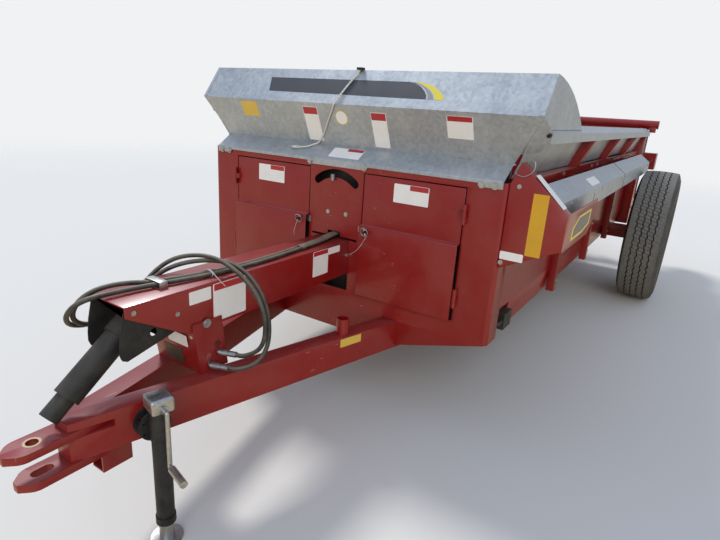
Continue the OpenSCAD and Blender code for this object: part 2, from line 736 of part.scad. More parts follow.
// Side walls and lower side panels
module side_wall() block([rear_x, box_hw, crease_z], [front_x, wall_hw, side_top_z]);
module side_left() color("firebrick") side_wall();
module side_right() color("firebrick") mirror([0, 1, 0]) side_wall();
take_up_gap = 106;
take_up_l = 100;
take_up_x = [front_x - take_up_gap - take_up_l, front_x - take_up_gap];
take_up_z = [488, 562];
module lower_panels() color("firebrick") both_sides() difference() {
    along(rear_x, take_up_x[0] - 10) polygon([[box_hw, crease_z], [wall_hw, crease_z],
        [wall_hw - skirt_lean, skirt_z], [box_hw - skirt_lean, skirt_z]]);
    axle_beam(0);
}

// Sills under the floor and the cross-members between them
sill_w = 48;
sill_in = box_hw - skirt_lean - sill_w;
cross_top = 570;
cross_bot = beam_top;
cross_x = [for (i = [0:stake_count - 1]) -stake_x1 - i * stake_pitch];
module frame_sills() color("firebrick") {
    both_sides() difference() {
        block([rear_x, sill_in, skirt_z + 20], [front_x - 20, sill_in + sill_w, floor_bot]);
        axle_beam(0);
    }
    for (x = concat([inner_x - 60, -beam_back + 60], [cross_x[0], cross_x[1]], [rear_x + 60]))
        block([x - 40, -sill_in, cross_bot], [x + 40, sill_in, cross_top]);
}

// Rails along the tops of the side walls, side stakes below them and slanted brackets above them
// that carry the flares
rail_w = 46;
rail_h = 36;
stake_drop = 4;
stake_wall = 5;
module bracket_outline() polygon(concat([[wall_hw + 1, side_top_z - 1], [wall_hw + rail_w, side_top_z - 1]],
    reversed(flare_under)));
module stakes() color("firebrick") both_sides() {
    block([rear_x, wall_hw, side_top_z - rail_h], [front_x, wall_hw + rail_w, side_top_z]);
    for (x = cross_x) {
        difference() {
            block([x - stake_w / 2, wall_hw, skirt_z - stake_drop],
                [x + stake_w / 2, wall_hw + stake_d, side_top_z - 1]);
            block([x - stake_w / 2 + stake_wall, wall_hw - 1, skirt_z - stake_drop - 1],
                [x + stake_w / 2 - stake_wall, wall_hw + stake_d - stake_wall, side_top_z - rail_h]);
        }
        along(x - stake_w / 2, x + stake_w / 2) bracket_outline();
    }
}

// Galvanised side flares; their front ends run on to the back of the front panel
module flare() {
    along(rear_x, front_x) bent(reversed(flare_line), -sheet_t);
    difference() {
        along(front_x - 1, 0) bent([flare_line[1], flare_line[0]], -sheet_t);
        across(wall_hw - 2 * sheet_t, panel_hw) polygon([[-panel_foot_x - panel_back, side_top_z - 1],
            [-panel_foot_x - panel_back, panel_foot_z], [-panel_back, panel_crease_z],
            [1, panel_crease_z], [1, side_top_z - 1]]);
    }
}
module flare_left() color("#c3cbd1") flare();
module flare_right() color("#c3cbd1") mirror([0, 1, 0]) flare();

// Guard at the left front corner, over the front chain
guard_reach = 221;
guard_out = shield_hw + guard_reach;
guard_apex = shield_hw + 32;
guard_z = [827, 937, 1070, 1237];
guard_l = 600;
guard_tail = [470, 60];
guard_flange = 60;
guard_lip = 30;
module corner_guard() color("firebrick") {
    along(-sheet_t, 0) polygon([[shield_hw, guard_z[0]], [guard_out, guard_z[1]], [guard_out, guard_z[2]],
        [guard_apex, guard_z[3]], [shield_hw, shield_top]]);
    across(guard_out - sheet_t, guard_out) polygon([[-sheet_t, guard_z[1] - 10],
        [-guard_tail[0], guard_z[1] - 10], [-guard_l, guard_z[1] + guard_tail[1]],
        [-guard_l, guard_z[2]], [-sheet_t, guard_z[2]]]);
    along(-guard_flange, -sheet_t) bent([[guard_out, guard_z[2]], [guard_apex, guard_z[3]]], sheet_t);
    block([-guard_lip, shield_hw, guard_z[0]], [-sheet_t, shield_hw + sheet_t, shield_top]);
}

// Galvanised cover over the side shaft, in two lengths
cover_out = 65;
cover_drop = 50;
cover_crease = 34;
cover_in = 15;
cover_rise = 97;
cover_line = [[side_y + cover_out, side_z - cover_drop], [side_y + cover_out, side_z + cover_crease],
    [side_y - cover_in, side_z + cover_rise]];
cover_split = -1850;
cover_end = -3440;
cover_seam = 3;
module cover(x0, x1) along(x0, x1) bent(cover_line, sheet_t);
module cover_front() color("#aab6c4") cover(cover_split, -guard_flange - 2);
module cover_rear() color("#aab6c4") cover(cover_end, cover_split - cover_seam);

// Side shaft with its sprocket and its coupling, and the plates that carry it and the cover
bearing_plate_t = 8;
bearing_wall = 20;
bearing_hl = 18;
coupling_wall = 14;
coupling_gap = 30;
coupling_l = 80;
coupling_x = [cover_end - coupling_gap - coupling_l, cover_end - coupling_gap];
shaft_plates = concat([for (x = cross_x) x - stake_w], [front_x - bearing_plate_t / 2]);
module side_shaft() color("#6d6f72") {
    bar_x(shaft_r, beater_x + gearbox_s, sprocket_x + 20, side_y, side_z);
    bar_x(sprocket_r, sprocket_x - sprocket_t / 2, sprocket_x + sprocket_t / 2, side_y, side_z);
    bar_x(shaft_r + coupling_wall, coupling_x[0], coupling_x[1], side_y, side_z);
    for (x = shaft_plates) {
        difference() {
            along(x - bearing_plate_t / 2, x + bearing_plate_t / 2) polygon(concat([[wall_hw, side_z - 60],
                [side_y + 25, side_z - 60]], offset_line(cover_line, sheet_t + seat),
                [[wall_hw + rail_w, side_top_z - rail_h - seat], [wall_hw, side_top_z - rail_h - seat]]));
            bar_x(shaft_r - eps, x - bearing_plate_t, x + bearing_plate_t, side_y, side_z);
        }
        difference() {
            bar_x(shaft_r + bearing_wall, x - bearing_hl, x + bearing_hl, side_y, side_z);
            bar_x(shaft_r - eps, x - bearing_hl - 1, x + bearing_hl + 1, side_y, side_z);
        }
    }
}

// Axle with its spindles and the saddles that hold it under the sills
axle_z = tyre_r;
axle_hw = track_y - 170;
spindle_end = track_y + 68;
axle_collar = 22;
module axle_beam(gap) block([-axle_x - axle_s / 2 - gap, -axle_hw, axle_z - axle_s / 2 - gap],
    [-axle_x + axle_s / 2 + gap, axle_hw, axle_z + axle_s / 2 + gap]);
module axle() color("firebrick") {
    axle_beam(0);
    both_sides() {
        bar_y(spindle_r, axle_hw - 10, spindle_end, -axle_x, axle_z);
        bar_y(spindle_r + axle_collar, axle_hw - 10, axle_hw + 16, -axle_x, axle_z);
    }
}

// Wheel, drawn about the Z axis and turned into place; its outer side is at +Z
hub_r = 70;
hub_l = 150;
disc_z = 20;
disc_t = 12;
nut_count = 10;
nut_pitch_r = 112;
nut_r = 16;
nut_h = 24;
hand_count = 10;
hand_pitch_r = 192;
hand_r = 21;
tyre_half = [[rim_r, 0.36], [rim_r + 8, 0.44], [rim_r + 90, 0.5], [rim_r + 130, 0.5], [rim_r + 200, 0.47]];
module tyre_outline() polygon(concat(
    [for (p = tyre_half) [p[0], p[1] * tyre_w]],
    [[tyre_r - 14, tread_w / 2 + 2], [tyre_r - 4, tread_w / 2 - 4], [tyre_r, tread_w / 2 - 16]],
    [[tyre_r, -tread_w / 2 + 16], [tyre_r - 4, -tread_w / 2 + 4], [tyre_r - 14, -tread_w / 2 - 2]],
    [for (p = reversed(tyre_half)) [p[0], -p[1] * tyre_w]]));
module tyre() rotate_extrude($fn = 96) tyre_outline();
rim_hw = 0.36 * tyre_w;
rim_t = 9;
module rim_body() rotate_extrude($fn = 96)
    polygon([[spindle_r + fit, -hub_l / 2], [hub_r, -hub_l / 2], [hub_r, disc_z], [hub_r + 70, disc_z],
        [rim_r - 60, 0], [rim_r - rim_t, -disc_z], [rim_r - rim_t, -rim_hw], [rim_r - seat, -rim_hw],
        [rim_r - seat, rim_hw], [rim_r - rim_t, rim_hw], [rim_r - rim_t, disc_t - disc_z],
        [rim_r - 60, disc_t], [hub_r + 70, disc_z + disc_t], [hub_r, disc_z + disc_t],
        [hub_r, hub_l / 2], [spindle_r + fit, hub_l / 2]]);
module rim() {
    difference() {
        rim_body();
        for (i = [0:hand_count - 1]) rotate([0, 0, i * 360 / hand_count])
            translate([hand_pitch_r, 0, -disc_z]) cylinder(r = hand_r, h = 3 * disc_z);
    }
    for (i = [0:nut_count - 1]) rotate([0, 0, (i + 0.5) * 360 / nut_count])
        translate([nut_pitch_r, 0, disc_z + disc_t - 1]) cylinder(r = nut_r, h = nut_h, $fn = 6);
}
module at_wheel(s) translate([-axle_x, s * track_y, axle_z]) rotate([-90 * s, 0, 0]) children();
module tyre_left() color("#1d1e1f") at_wheel(1) tyre();
module tyre_right() color("#1d1e1f") at_wheel(-1) tyre();
module rim_left() color("#d9dadb") at_wheel(1) rim();
module rim_right() color("#d9dadb") at_wheel(-1) rim();

// Rear posts with the end gate's guides and the cylinders' feet
foot_z = 700;
rear_cross_h = 90;
lap = 1;
module rear_frame() color("firebrick") both_sides() {
    block([plate_back, box_hw, skirt_z], [rear_x, post_out, side_top_z + flare_rise - roll_drop]);
    block([post_x, -lap, skirt_z], [plate_back, post_in + lap, skirt_z + rear_cross_h]);
    block([post_x, post_in, skirt_z], [plate_back + lap, post_out, post_top]);
    translate([0, 0, skirt_z]) linear_extrude(post_top - skirt_z) polygon([[post_x + lap, post_in + 5],
        [post_x + lap, post_out], [guide_back, post_out], [guide_back, post_in - 30], [guide_x, post_in - 30],
        [guide_x, post_in + 5]]);
    block([cyl_x - barrel_r, cyl_y - 20, foot_z - 50], [guide_back + lap, cyl_y + 20, foot_z]);
}

// End gate with the tube along its top, the brackets over the cylinders and the boxes below the
// tube's ends
rod_top = post_top + 24;
barrel_l = gate_lift + 100;
barrel_wall = 6;
barrel_cap = 20;
piston_z = foot_z + 2 * barrel_cap;
piston_h = 30;
gate_z = floor_z - 30;
gate_tube_z = post_top + 34 + gate_tube_r;
gate_rib = 12;
gate_rib_h = 60;
gate_ribs = 4;
gate_rib_pitch = (gate_tube_z - 20 - gate_rib_h - gate_z) / gate_ribs;
gate_over = 80;
gate_end_box = [28, 52, 72];
tube_x = gate_x - gate_t / 2;
module gate_panel() color("firebrick") {
    block([gate_x - gate_t + gate_rib, -post_in, gate_z], [gate_x, post_in, gate_tube_z - 20]);
    for (i = [0:gate_ribs - 1]) translate([0, 0, i * gate_rib_pitch])
        block([gate_x - gate_t, -post_in + 40, gate_z],
            [gate_x - gate_t + gate_rib + lap, post_in - 40, gate_z + gate_rib_h]);
    bar_y(gate_tube_r, -post_out - gate_over, post_out + gate_over, tube_x, gate_tube_z);
    both_sides() translate([tube_x - gate_end_box[0], post_out + 10, gate_tube_z - gate_end_box[2]])
        cube([2 * gate_end_box[0], gate_end_box[1], gate_end_box[2]]);
    both_sides() block([cyl_x - 30, cyl_y - 25, rod_top], [tube_x, cyl_y + 25, rod_top + 16]);
}
module gate_rods() color("#d5d8da") both_sides() translate([cyl_x, cyl_y, 0]) {
    translate([0, 0, piston_z]) cylinder(r = rod_r, h = rod_top - piston_z);
    translate([0, 0, piston_z]) cylinder(r = barrel_r - barrel_wall - fit, h = piston_h);
}
module gate_barrels() color("#2c2e30") both_sides() translate([cyl_x, cyl_y, foot_z]) difference() {
    cylinder(r = barrel_r, h = barrel_l);
    translate([0, 0, barrel_cap]) cylinder(r = barrel_r - barrel_wall, h = barrel_l - 2 * barrel_cap);
    translate([0, 0, barrel_cap + 1]) cylinder(r = rod_r + fit, h = barrel_l);
}

// Beater: a drum with two spirals of paddles, each on a foot that is bolted to the drum
beater_l = 2 * box_hw - 24;
stub_shaft_r = 25;
bearing_r = 60;
bearing_l = 35;
gearbox_s = 80;
end_plate_t = 10;
end_plate_step = 60;
paddle_w = 100;
paddle_t = 10;
paddle_tip = 44;
paddle_root = 6;
paddle_taper = 0.62;
paddle_foot = [46, 120, 16];
paddle_step = (beater_l - 50 - paddle_foot[1]) / (paddle_count - 1);
module paddle() {
    reach = beater_r - drum_r;
    translate([0, 0, drum_r - paddle_root]) {
        rotate([90, 0, 90]) linear_extrude(paddle_t, center = true) polygon([[-paddle_w / 2, 0],
            [paddle_w / 2, 0], [paddle_w / 2, reach * paddle_taper], [paddle_tip, reach + paddle_root],
            [-paddle_tip, reach + paddle_root], [-paddle_w / 2, reach * paddle_taper]]);
        translate([-paddle_foot[0] / 2, -paddle_foot[1] / 2, 0]) cube(paddle_foot);
    }
}
module beater() color("#7d2b28") translate([beater_x, 0, side_z]) {
    bar_y(drum_r, -beater_l / 2, beater_l / 2, 0, 0);
    bar_y(stub_shaft_r, -end_plate_y - bearing_l - 6, side_y - 35, 0, 0);
    for (i = [0:paddle_count - 1], side = [0, 180]) rotate([0, side + i * 360 / paddle_count, 0])
        translate([0, -beater_l / 2 + 25 + paddle_foot[1] / 2 + i * paddle_step, 0]) paddle();
}
module beater_ends() color("firebrick") {
    both_sides() difference() {
        union() {
            across(end_plate_y, end_plate_y + end_plate_t) intersection() {
                union() {
                    translate([beater_x, side_z]) circle(r = end_plate_r, $fn = 96);
                    translate([beater_x, side_z - end_plate_r]) square(2 * end_plate_r - end_plate_step);
                }
                translate([beater_x - end_plate_r, 0])
                    square([end_plate_r + guide_back - beater_x, 2 * side_z]);
            }
            bar_y(bearing_r, end_plate_y, end_plate_y + bearing_l, beater_x, side_z);
        }
        bar_y(stub_shaft_r + fit, end_plate_y - 1, end_plate_y + bearing_l + 1, beater_x, side_z);
    }
    difference() {
        block([beater_x - gearbox_s, end_plate_y + bearing_l, side_z - gearbox_s],
            [beater_x + gearbox_s, side_y + 55, side_z + gearbox_s]);
        bar_y(stub_shaft_r + seat, end_plate_y, side_y - 30, beater_x, side_z);
    }
}

// Apron: two endless chains joined by slats, round an idler shaft and a driving shaft
apron_z = floor_z - apron_r;
slat_w = 44;
module apron_chain() color("#4b4d50") {
    both_sides() across(chain_y - chain_w / 2, chain_y + chain_w / 2)
        translate([drive_x, apron_z]) chain_outline(idler_x - drive_x, apron_r, chain_t, apron_pitch);
    for (i = [0:slat_count - 1]) {
        x = idler_x - 60 - i * (idler_x - drive_x - 120) / (slat_count - 1);
        for (z = [floor_z, floor_z - 2 * apron_r - slat_h])
            block([x - slat_w / 2, -sill_in + 10, z], [x + slat_w / 2, sill_in - 10, z + slat_h]);
    }
}
apron_shaft_r = 22;
wheel_hw = 15;
module apron_shafts() color("#56585a") for (x = [idler_x, drive_x]) {
    bar_y(apron_shaft_r, -sill_in, sill_in, x, apron_z);
    both_sides() bar_y(apron_r - seat, chain_y - wheel_hw, chain_y + wheel_hw, x, apron_z);
}

// Take-up blocks of the apron, in the gap before the lower side panels
take_up_out = wall_hw + 22;
module take_ups() color("#232527") both_sides() {
    block([take_up_x[0], sill_in + sill_w, take_up_z[0]], [take_up_x[1], take_up_out, take_up_z[1]]);
    bar_x(8, take_up_x[0] - 8, take_up_x[1] + 60, take_up_out - 14, (take_up_z[0] + take_up_z[1]) / 2);
}

// Clamp that holds the hoses on the channel
clamp_x = 955;
clamp_y = [-45, 33];
clamp_base = 3;
clamp_wall = 6;
clamp_room = 1.5;
module hose_clamp() color("#c9ccce") difference() {
    block([clamp_x - 15, clamp_y[0], channel_top],
        [clamp_x + 15, clamp_y[1], hose_z + hose_r + clamp_room + clamp_base]);
    block([clamp_x - 16, clamp_y[0] + clamp_wall, channel_top + clamp_base],
        [clamp_x + 16, clamp_y[1] - clamp_wall, hose_z + hose_r + clamp_room]);
}

// Couplers at the hoses' ends, with their necks in the slots of the post's keyholes
coupler_turn = 20;
coupler_neck = [5, -12, 6];
coupler_nut = [13, 6, 34];
coupler_tail = [10.5, 34, 70];
module hose_couplers() color("#c9ccce") for (k = keyhole)
    translate([k[0], post_hw, k[1] - neck_drop - slot_w / 2 + coupler_neck[0] + seat])
        rotate([0, 0, coupler_turn])
            for (part = [coupler_neck, coupler_nut, coupler_tail]) bar_y(part[0], part[1], part[2], 0, 0);

// Clip that holds the rope on the top edge of the front panel
clip_y = [18, 46];
clip_h = 10;
clip_d = 26;
module rope_clip() color("#26282a")
    block([-panel_top_x - 8, clip_y[0], panel_top_z],
        [-panel_top_x - 8 + clip_d, clip_y[1], panel_top_z + clip_h]);

// Hoses and rope: swept along hand-set points
hose_r = 8;
rope_r = 4;
hose_z = channel_top + clamp_base + hose_r + seat;
hose_left_route = [[-103.7, 13, 818], [-40, 13, 818], [32, 12, 815], [120, 23, 809], [283, 41, 809],
    [483, 57, 809], [682, 57, 809], [830, 38, 810], [945, 13, 811.3], [1020, -4, 812], [1085, -12, 813],
    [1140, -18, 813], [1180, -33, 805], [1202, -57, 783], [1207, -88, 748], [1188, -120, 710],
    [1148, -138, 685], [1094, -144, 676], [1036, -144, 684], [980, -141, 712], [925, -135, 758],
    [876, -122, 808], [824, -86, 850], [772, -26, 864], [744, 40, 858], [730, 104, 834],
    [720, 160, 798], [710, 206, 746], [710, 236, 686], [716, 246, 622], [730, 236, 566],
    [760.8, 190, 536.3], [771, 162, 536.3]];
hose_right_route = [[-103.7, -7, 818], [-40, -7, 818], [32, -8, 815], [120, 4, 809], [283, 22, 809],
    [483, 38, 809], [682, 36, 809], [830, 14, 810], [945, -17, 811.3],
    [974, -27, 811.3], [1012, -42, 817], [1072, -60, 820], [1126, -72, 812], [1166, -84, 788],
    [1182, -98, 752], [1172, -112, 716], [1136, -121, 690], [1080, -125, 682], [1015, -124, 698],
    [958, -120, 736], [905, -110, 782], [852, -88, 818], [795, -42, 840], [742, 14, 846],
    [704, 74, 838], [686, 130, 808], [678, 180, 760], [678, 218, 698], [688, 240, 628],
    [708, 246, 562], [748, 232, 514], [799.8, 190, 500.3], [810, 162, 500.3]];
rope_route = [[-97, 31, 1550], [-84.5, 22, 1528], [-64, 10, 1501], [-38, -6, 1464], [-8, -20, 1424],
    [6, -30, 1398], [-5, -44, 1378], [-27, -80, 1330], [-47, -110, 1286], [-64, -138, 1250],
    [-70, -166, 1222], [-62, -190, 1211], [-48, -211, 1201], [-42, -232, 1197], [-40, -250, 1195]];
function tangent(p, i) = unit(p[min(i + 1, len(p) - 1)] - p[max(i - 1, 0)]);
function square_to(t, u) = unit(u - (u * t) * t);
function carried(p, u, i = 0) = i == len(p) ? [] :
    let (v = square_to(tangent(p, i), u)) concat([v], carried(p, v, i + 1));
module swept(p, r, sides = 8) {
    n = len(p);
    side = carried(p, [0, 0, 1]);
    ring = [for (i = [0:n - 1]) let (u = side[i], v = cross(tangent(p, i), u))
        for (k = [0:sides - 1]) p[i] + r * (cos(k * 360 / sides) * u + sin(k * 360 / sides) * v)];
    faces = concat([[for (k = [0:sides - 1]) k]], [[for (k = [sides - 1:-1:0]) (n - 1) * sides + k]],
        [for (i = [0:n - 2], k = [0:sides - 1]) [i * sides + k, (i + 1) * sides + k,
            (i + 1) * sides + (k + 1) % sides, i * sides + (k + 1) % sides]]);
    polyhedron(ring, faces);
}
module hose_left() color("#222325") swept(hose_left_route, hose_r);
module hose_right() color("#222325") swept(hose_right_route, hose_r);
module pull_rope() color("#e9e9e4") swept(rope_route, rope_r);

placed() hitch_clevis();
placed() drawbar();
placed() stub_tube();
placed() pto_post();
placed() pto_channel();
placed() pto_guard();
placed() pto_shaft();
placed() input_shaft();
placed() jack_mount();
placed() jack_tube();
placed() jack_cap();
placed() jack_leg();
placed() front_shield();
placed() door_left();
placed() door_right();
placed() front_wall();
placed() shelf();
placed() front_panel();
placed() floor_pan();  // floor
placed() side_left();
placed() side_right();
placed() lower_panels();
placed() frame_sills();
placed() stakes();
placed() flare_left();
placed() flare_right();
placed() corner_guard();
placed() cover_front();
placed() cover_rear();
placed() side_shaft();
placed() axle();
placed() tyre_left();
placed() tyre_right();
placed() rim_left();
placed() rim_right();
placed() rear_frame();
placed() gate_panel();
placed() gate_rods();
placed() gate_barrels();
placed() beater();
placed() beater_ends();
placed() apron_chain();
placed() apron_shafts();
placed() take_ups();
placed() drive_chain();
placed() hose_clamp();
placed() hose_couplers();
placed() rope_clip();
placed() hose_left();
placed() hose_right();
placed() pull_rope();
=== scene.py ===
import json
import math

import bmesh
import bpy
from mathutils import Matrix, Vector


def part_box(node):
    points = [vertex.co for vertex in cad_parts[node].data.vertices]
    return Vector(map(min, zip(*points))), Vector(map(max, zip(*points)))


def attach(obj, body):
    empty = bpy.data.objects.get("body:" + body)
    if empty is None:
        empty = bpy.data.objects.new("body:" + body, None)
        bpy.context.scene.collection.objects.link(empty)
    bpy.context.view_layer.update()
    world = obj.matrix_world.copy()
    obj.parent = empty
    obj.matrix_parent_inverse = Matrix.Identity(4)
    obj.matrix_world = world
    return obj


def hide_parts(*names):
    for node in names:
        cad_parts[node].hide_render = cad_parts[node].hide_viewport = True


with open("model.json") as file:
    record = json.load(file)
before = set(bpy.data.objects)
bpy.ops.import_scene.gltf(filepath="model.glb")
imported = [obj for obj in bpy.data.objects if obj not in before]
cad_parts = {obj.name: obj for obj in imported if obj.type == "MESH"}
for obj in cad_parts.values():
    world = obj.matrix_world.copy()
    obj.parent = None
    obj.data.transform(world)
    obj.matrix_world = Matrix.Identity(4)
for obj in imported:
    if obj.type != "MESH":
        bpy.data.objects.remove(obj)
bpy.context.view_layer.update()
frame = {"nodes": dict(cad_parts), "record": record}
nodes = frame["nodes"]

# Places are counted as in the drawing: metres from the front shield, forward and to the machine's left
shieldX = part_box("corner_guard")[1][0]


def at(x, y, z):
    return Vector((x + shieldX, y, z))


def millimetres(points):
    return [at(x / 1000, y / 1000, z / 1000) for x, y, z in points]


def colour(hexText):
    parts = [int(hexText[i:i + 2], 16) / 255 for i in (0, 2, 4)]
    return (*(c / 12.92 if c <= 0.04045 else ((c + 0.055) / 1.055) ** 2.4 for c in parts), 1.0)


def turns(count):
    return [k * 2 * math.pi / count for k in range(count)]


def added(name, data):
    thing = bpy.data.objects.new(name, data)
    bpy.context.scene.collection.objects.link(thing)
    return thing


# Camera
cameraPose = {"place": (1.9105, 1.3833, 1.3884), "heading": 212.616, "down": 17.494, "roll": -3.711,
              "lens": 25.566}


def makeCamera():
    heading, down, roll = (math.radians(cameraPose[k]) for k in ("heading", "down", "roll"))
    level, drop = math.cos(down), -math.sin(down)
    ahead = Vector((math.cos(heading) * level, math.sin(heading) * level, drop))
    right = ahead.cross(Vector((0, 0, 1))).normalized()
    below = ahead.cross(right)
    across = math.cos(roll) * right + math.sin(roll) * below
    lower = math.cos(roll) * below - math.sin(roll) * right
    camera = added("yardCamera", bpy.data.cameras.new("yardCamera"))
    turned = Matrix((across, -lower, -ahead)).transposed().to_4x4()
    camera.matrix_world = Matrix.Translation(at(*cameraPose["place"])) @ turned
    camera.data.lens = cameraPose["lens"]
    camera.data.sensor_width = 36
    camera.data.clip_start = 0.05
    bpy.context.scene.camera = camera


makeCamera()
print("camera set")


# Shader groups, each used by several finishes
def put(tree, kind, inputs=None, **settings):
    node = tree.nodes.new(kind)
    for name, value in settings.items():
        setattr(node, name, value)
    for name, value in (inputs or {}).items():
        socket = node.inputs[name]
        if isinstance(value, bpy.types.NodeSocket):
            tree.links.new(value, socket)
        else:
            socket.default_value = value
    return node


# Each socket is (label, way, what it holds, value)
def newTree(name, kind, sockets):
    tree = bpy.data.node_groups.new(name, kind)
    for label, way, held, value in sockets:
        socket = tree.interface.new_socket(label, in_out=way, socket_type="NodeSocket" + held)
        if value is not None:
            socket.default_value = value
    return tree, tree.nodes.new("NodeGroupInput").outputs, tree.nodes.new("NodeGroupOutput").inputs


def shaderGroup(name, sizes, results):
    sockets = [(label, "INPUT", "Float", value) for label, value in sizes.items()]
    return newTree(name, "ShaderNodeTree", sockets + [(label, "OUTPUT", "Float", None) for label in results])


def spread(tree, value, low, high, newLow=0.0, newHigh=1.0):
    return put(tree, "ShaderNodeMapRange",
               {"Value": value, "From Min": low, "From Max": high, "To Min": newLow,
                "To Max": newHigh}).outputs["Result"]


def maths(tree, operation, a, b):
    return put(tree, "ShaderNodeMath", {0: a, 1: b}, operation=operation).outputs[0]


def vectors(tree, operation, a, b):
    return put(tree, "ShaderNodeVectorMath", {0: a, 1: b}, operation=operation).outputs[0]


def objectPlace(tree):
    return put(tree, "ShaderNodeTexCoord").outputs["Object"]


def drawnOut(tree, place, scale, rotation=(0.0, 0.0, 0.0)):
    return put(tree, "ShaderNodeMapping", {"Vector": place, "Rotation": rotation, "Scale": scale}).outputs[0]


def noise(tree, place, scale, detail, roughness=0.5, wanted="Fac"):
    return put(tree, "ShaderNodeTexNoise",
               {"Vector": place, "Scale": scale, "Detail": detail, "Roughness": roughness}).outputs[wanted]


def buildMottle():
    group, given, made = shaderGroup("mottle", {"Scale": 4.0, "Contrast": 1.0}, ["Value"])
    clouds = noise(group, objectPlace(group), given["Scale"], 5.0, 0.6)
    centred = maths(group, "MULTIPLY", maths(group, "SUBTRACT", clouds, 0.5), given["Contrast"])
    group.links.new(maths(group, "ADD", centred, 0.5), made["Value"])
    return group


# Mask of dust patches and of upward faces; the gloss paint also uses it for its paler tops, which are partly
# painted highlight
def buildDustAndSheen():
    group, given, made = shaderGroup("dustAndSheen", {"Scale": 3.0, "Amount": 0.5, "Upward": 0.6}, ["Mask"])
    patches = spread(group, noise(group, objectPlace(group), given["Scale"], 8.0, 0.68), 0.36, 0.72)
    normal = put(group, "ShaderNodeTexCoord").outputs["Normal"]
    up = put(group, "ShaderNodeSeparateXYZ", {0: normal}).outputs["Z"]
    top = maths(group, "MULTIPLY", spread(group, up, 0.2, 0.9), given["Upward"])
    both = maths(group, "ADD", maths(group, "MULTIPLY", patches, 0.6), top)
    mask = maths(group, "MULTIPLY", both, given["Amount"])
    group.links.new(put(group, "ShaderNodeClamp", {"Value": mask}).outputs[0], made["Mask"])
    return group


def buildScuffs():
    group, given, made = shaderGroup("scuffs", {"Scale": 9.0, "Amount": 0.5}, ["Mask"])
    place = objectPlace(group)
    slanted = drawnOut(group, place, (1.0, 9.0, 14.0), (0.5, 0.35, 0.8))
    lines = spread(group, noise(group, slanted, given["Scale"], 2.0, 0.4), 0.715, 0.735)
    kept = maths(group, "MULTIPLY", lines, spread(group, noise(group, place, 2.6, 3.0), 0.54, 0.6))
    group.links.new(maths(group, "MULTIPLY", kept, given["Amount"]), made["Mask"])
    return group


def buildSpangle():
    group, given, made = shaderGroup("zincSpangle", {"Scale": 60.0}, ["Tone", "Height"])
    place = objectPlace(group)
    warp = vectors(group, "MULTIPLY", noise(group, place, 18.0, 3.0, wanted="Color"), (0.03, 0.03, 0.03))
    warped = vectors(group, "ADD", place, warp)
    cells = put(group, "ShaderNodeTexVoronoi", {"Vector": warped, "Scale": given["Scale"]}).outputs["Color"]
    grain = put(group, "ShaderNodeSeparateXYZ", {0: cells}).outputs["X"]
    clouds = noise(group, place, 3.4, 7.0, 0.66)
    streaks = noise(group, drawnOut(group, place, (9.0, 9.0, 1.2)), 2.0, 4.0)
    tone = maths(group, "ADD", maths(group, "MULTIPLY", grain, 0.22), maths(group, "MULTIPLY", clouds, 0.6))
    group.links.new(maths(group, "ADD", tone, maths(group, "MULTIPLY", streaks, 0.3)), made["Tone"])
    group.links.new(maths(group, "ADD", grain, clouds), made["Height"])
    return group


mottle, dustAndSheen, scuffs, zincSpangle = buildMottle(), buildDustAndSheen(), buildScuffs(), buildSpangle()


def use(tree, group, wanted, **inputs):
    return put(tree, "ShaderNodeGroup", inputs, node_tree=group).outputs[wanted]


def blendColours(tree, mask, first, second):
    return put(tree, "ShaderNodeMix", {0: mask, 6: first, 7: second}, data_type="RGBA").outputs[2]


def bumps(tree, height, strength, distance):
    return put(tree, "ShaderNodeBump",
               {"Height": height, "Strength": strength, "Distance": distance}).outputs[0]


def newFinish(name, metallic=0.0, coat=0.0, specular=0.5):
    finish = bpy.data.materials.new(name)
    finish.use_nodes = True
    tree = finish.node_tree
    for label, value in (("Metallic", metallic), ("Coat Weight", coat), ("Coat Roughness", 0.1),
                         ("Specular IOR Level", specular)):
        tree.nodes["Principled BSDF"].inputs[label].default_value = value
    return finish, tree


def wired(finish, baseColour, roughness, normal=None):
    tree = finish.node_tree
    for label, value in (("Base Color", baseColour), ("Roughness", roughness), ("Normal", normal)):
        if value is not None:
            tree.links.new(value, tree.nodes["Principled BSDF"].inputs[label])
    return finish


# Gloss paint: an even coat, paler where it looks up (partly sun-fade, partly a painted highlight of the sky
# on the tops), dusty in patches, thin scratches here and there
def glossPaint(name, fresh, faded, dusty="a88f80", dustAmount=0.10, fadeAndSheenAmount=0.3, scuffAmount=0.35,
               roughness=0.3, scuffTone="d2aca4"):
    finish, tree = newFinish(name, coat=0.22)
    # Paler upward faces: partly sun-fade, partly a painted highlight of sky light on the tops
    fade = use(tree, dustAndSheen, "Mask", Scale=1.3, Amount=fadeAndSheenAmount, Upward=1.2)
    dust = use(tree, dustAndSheen, "Mask", Scale=7.0, Amount=dustAmount, Upward=0.7)
    tone = spread(tree, use(tree, mottle, "Value", Scale=2.2, Contrast=1.2), 0.1, 0.9, 0.0, 0.35)
    base = blendColours(tree, tone, colour(fresh), colour(faded))
    base = blendColours(tree, fade, base, colour(faded))
    base = blendColours(tree, dust, base, colour(dusty))
    worn = use(tree, scuffs, "Mask", Scale=6.0, Amount=scuffAmount)
    uneven = spread(tree, use(tree, mottle, "Value", Scale=30.0, Contrast=1.0), 0.0, 1.0, -0.05, 0.06)
    ripple = use(tree, mottle, "Value", Scale=150.0, Contrast=1.0)
    return wired(finish, blendColours(tree, worn, base, colour(scuffTone)),
                 maths(tree, "ADD", spread(tree, dust, 0.0, 1.0, roughness, 0.75), uneven),
                 bumps(tree, ripple, 0.06, 0.001))


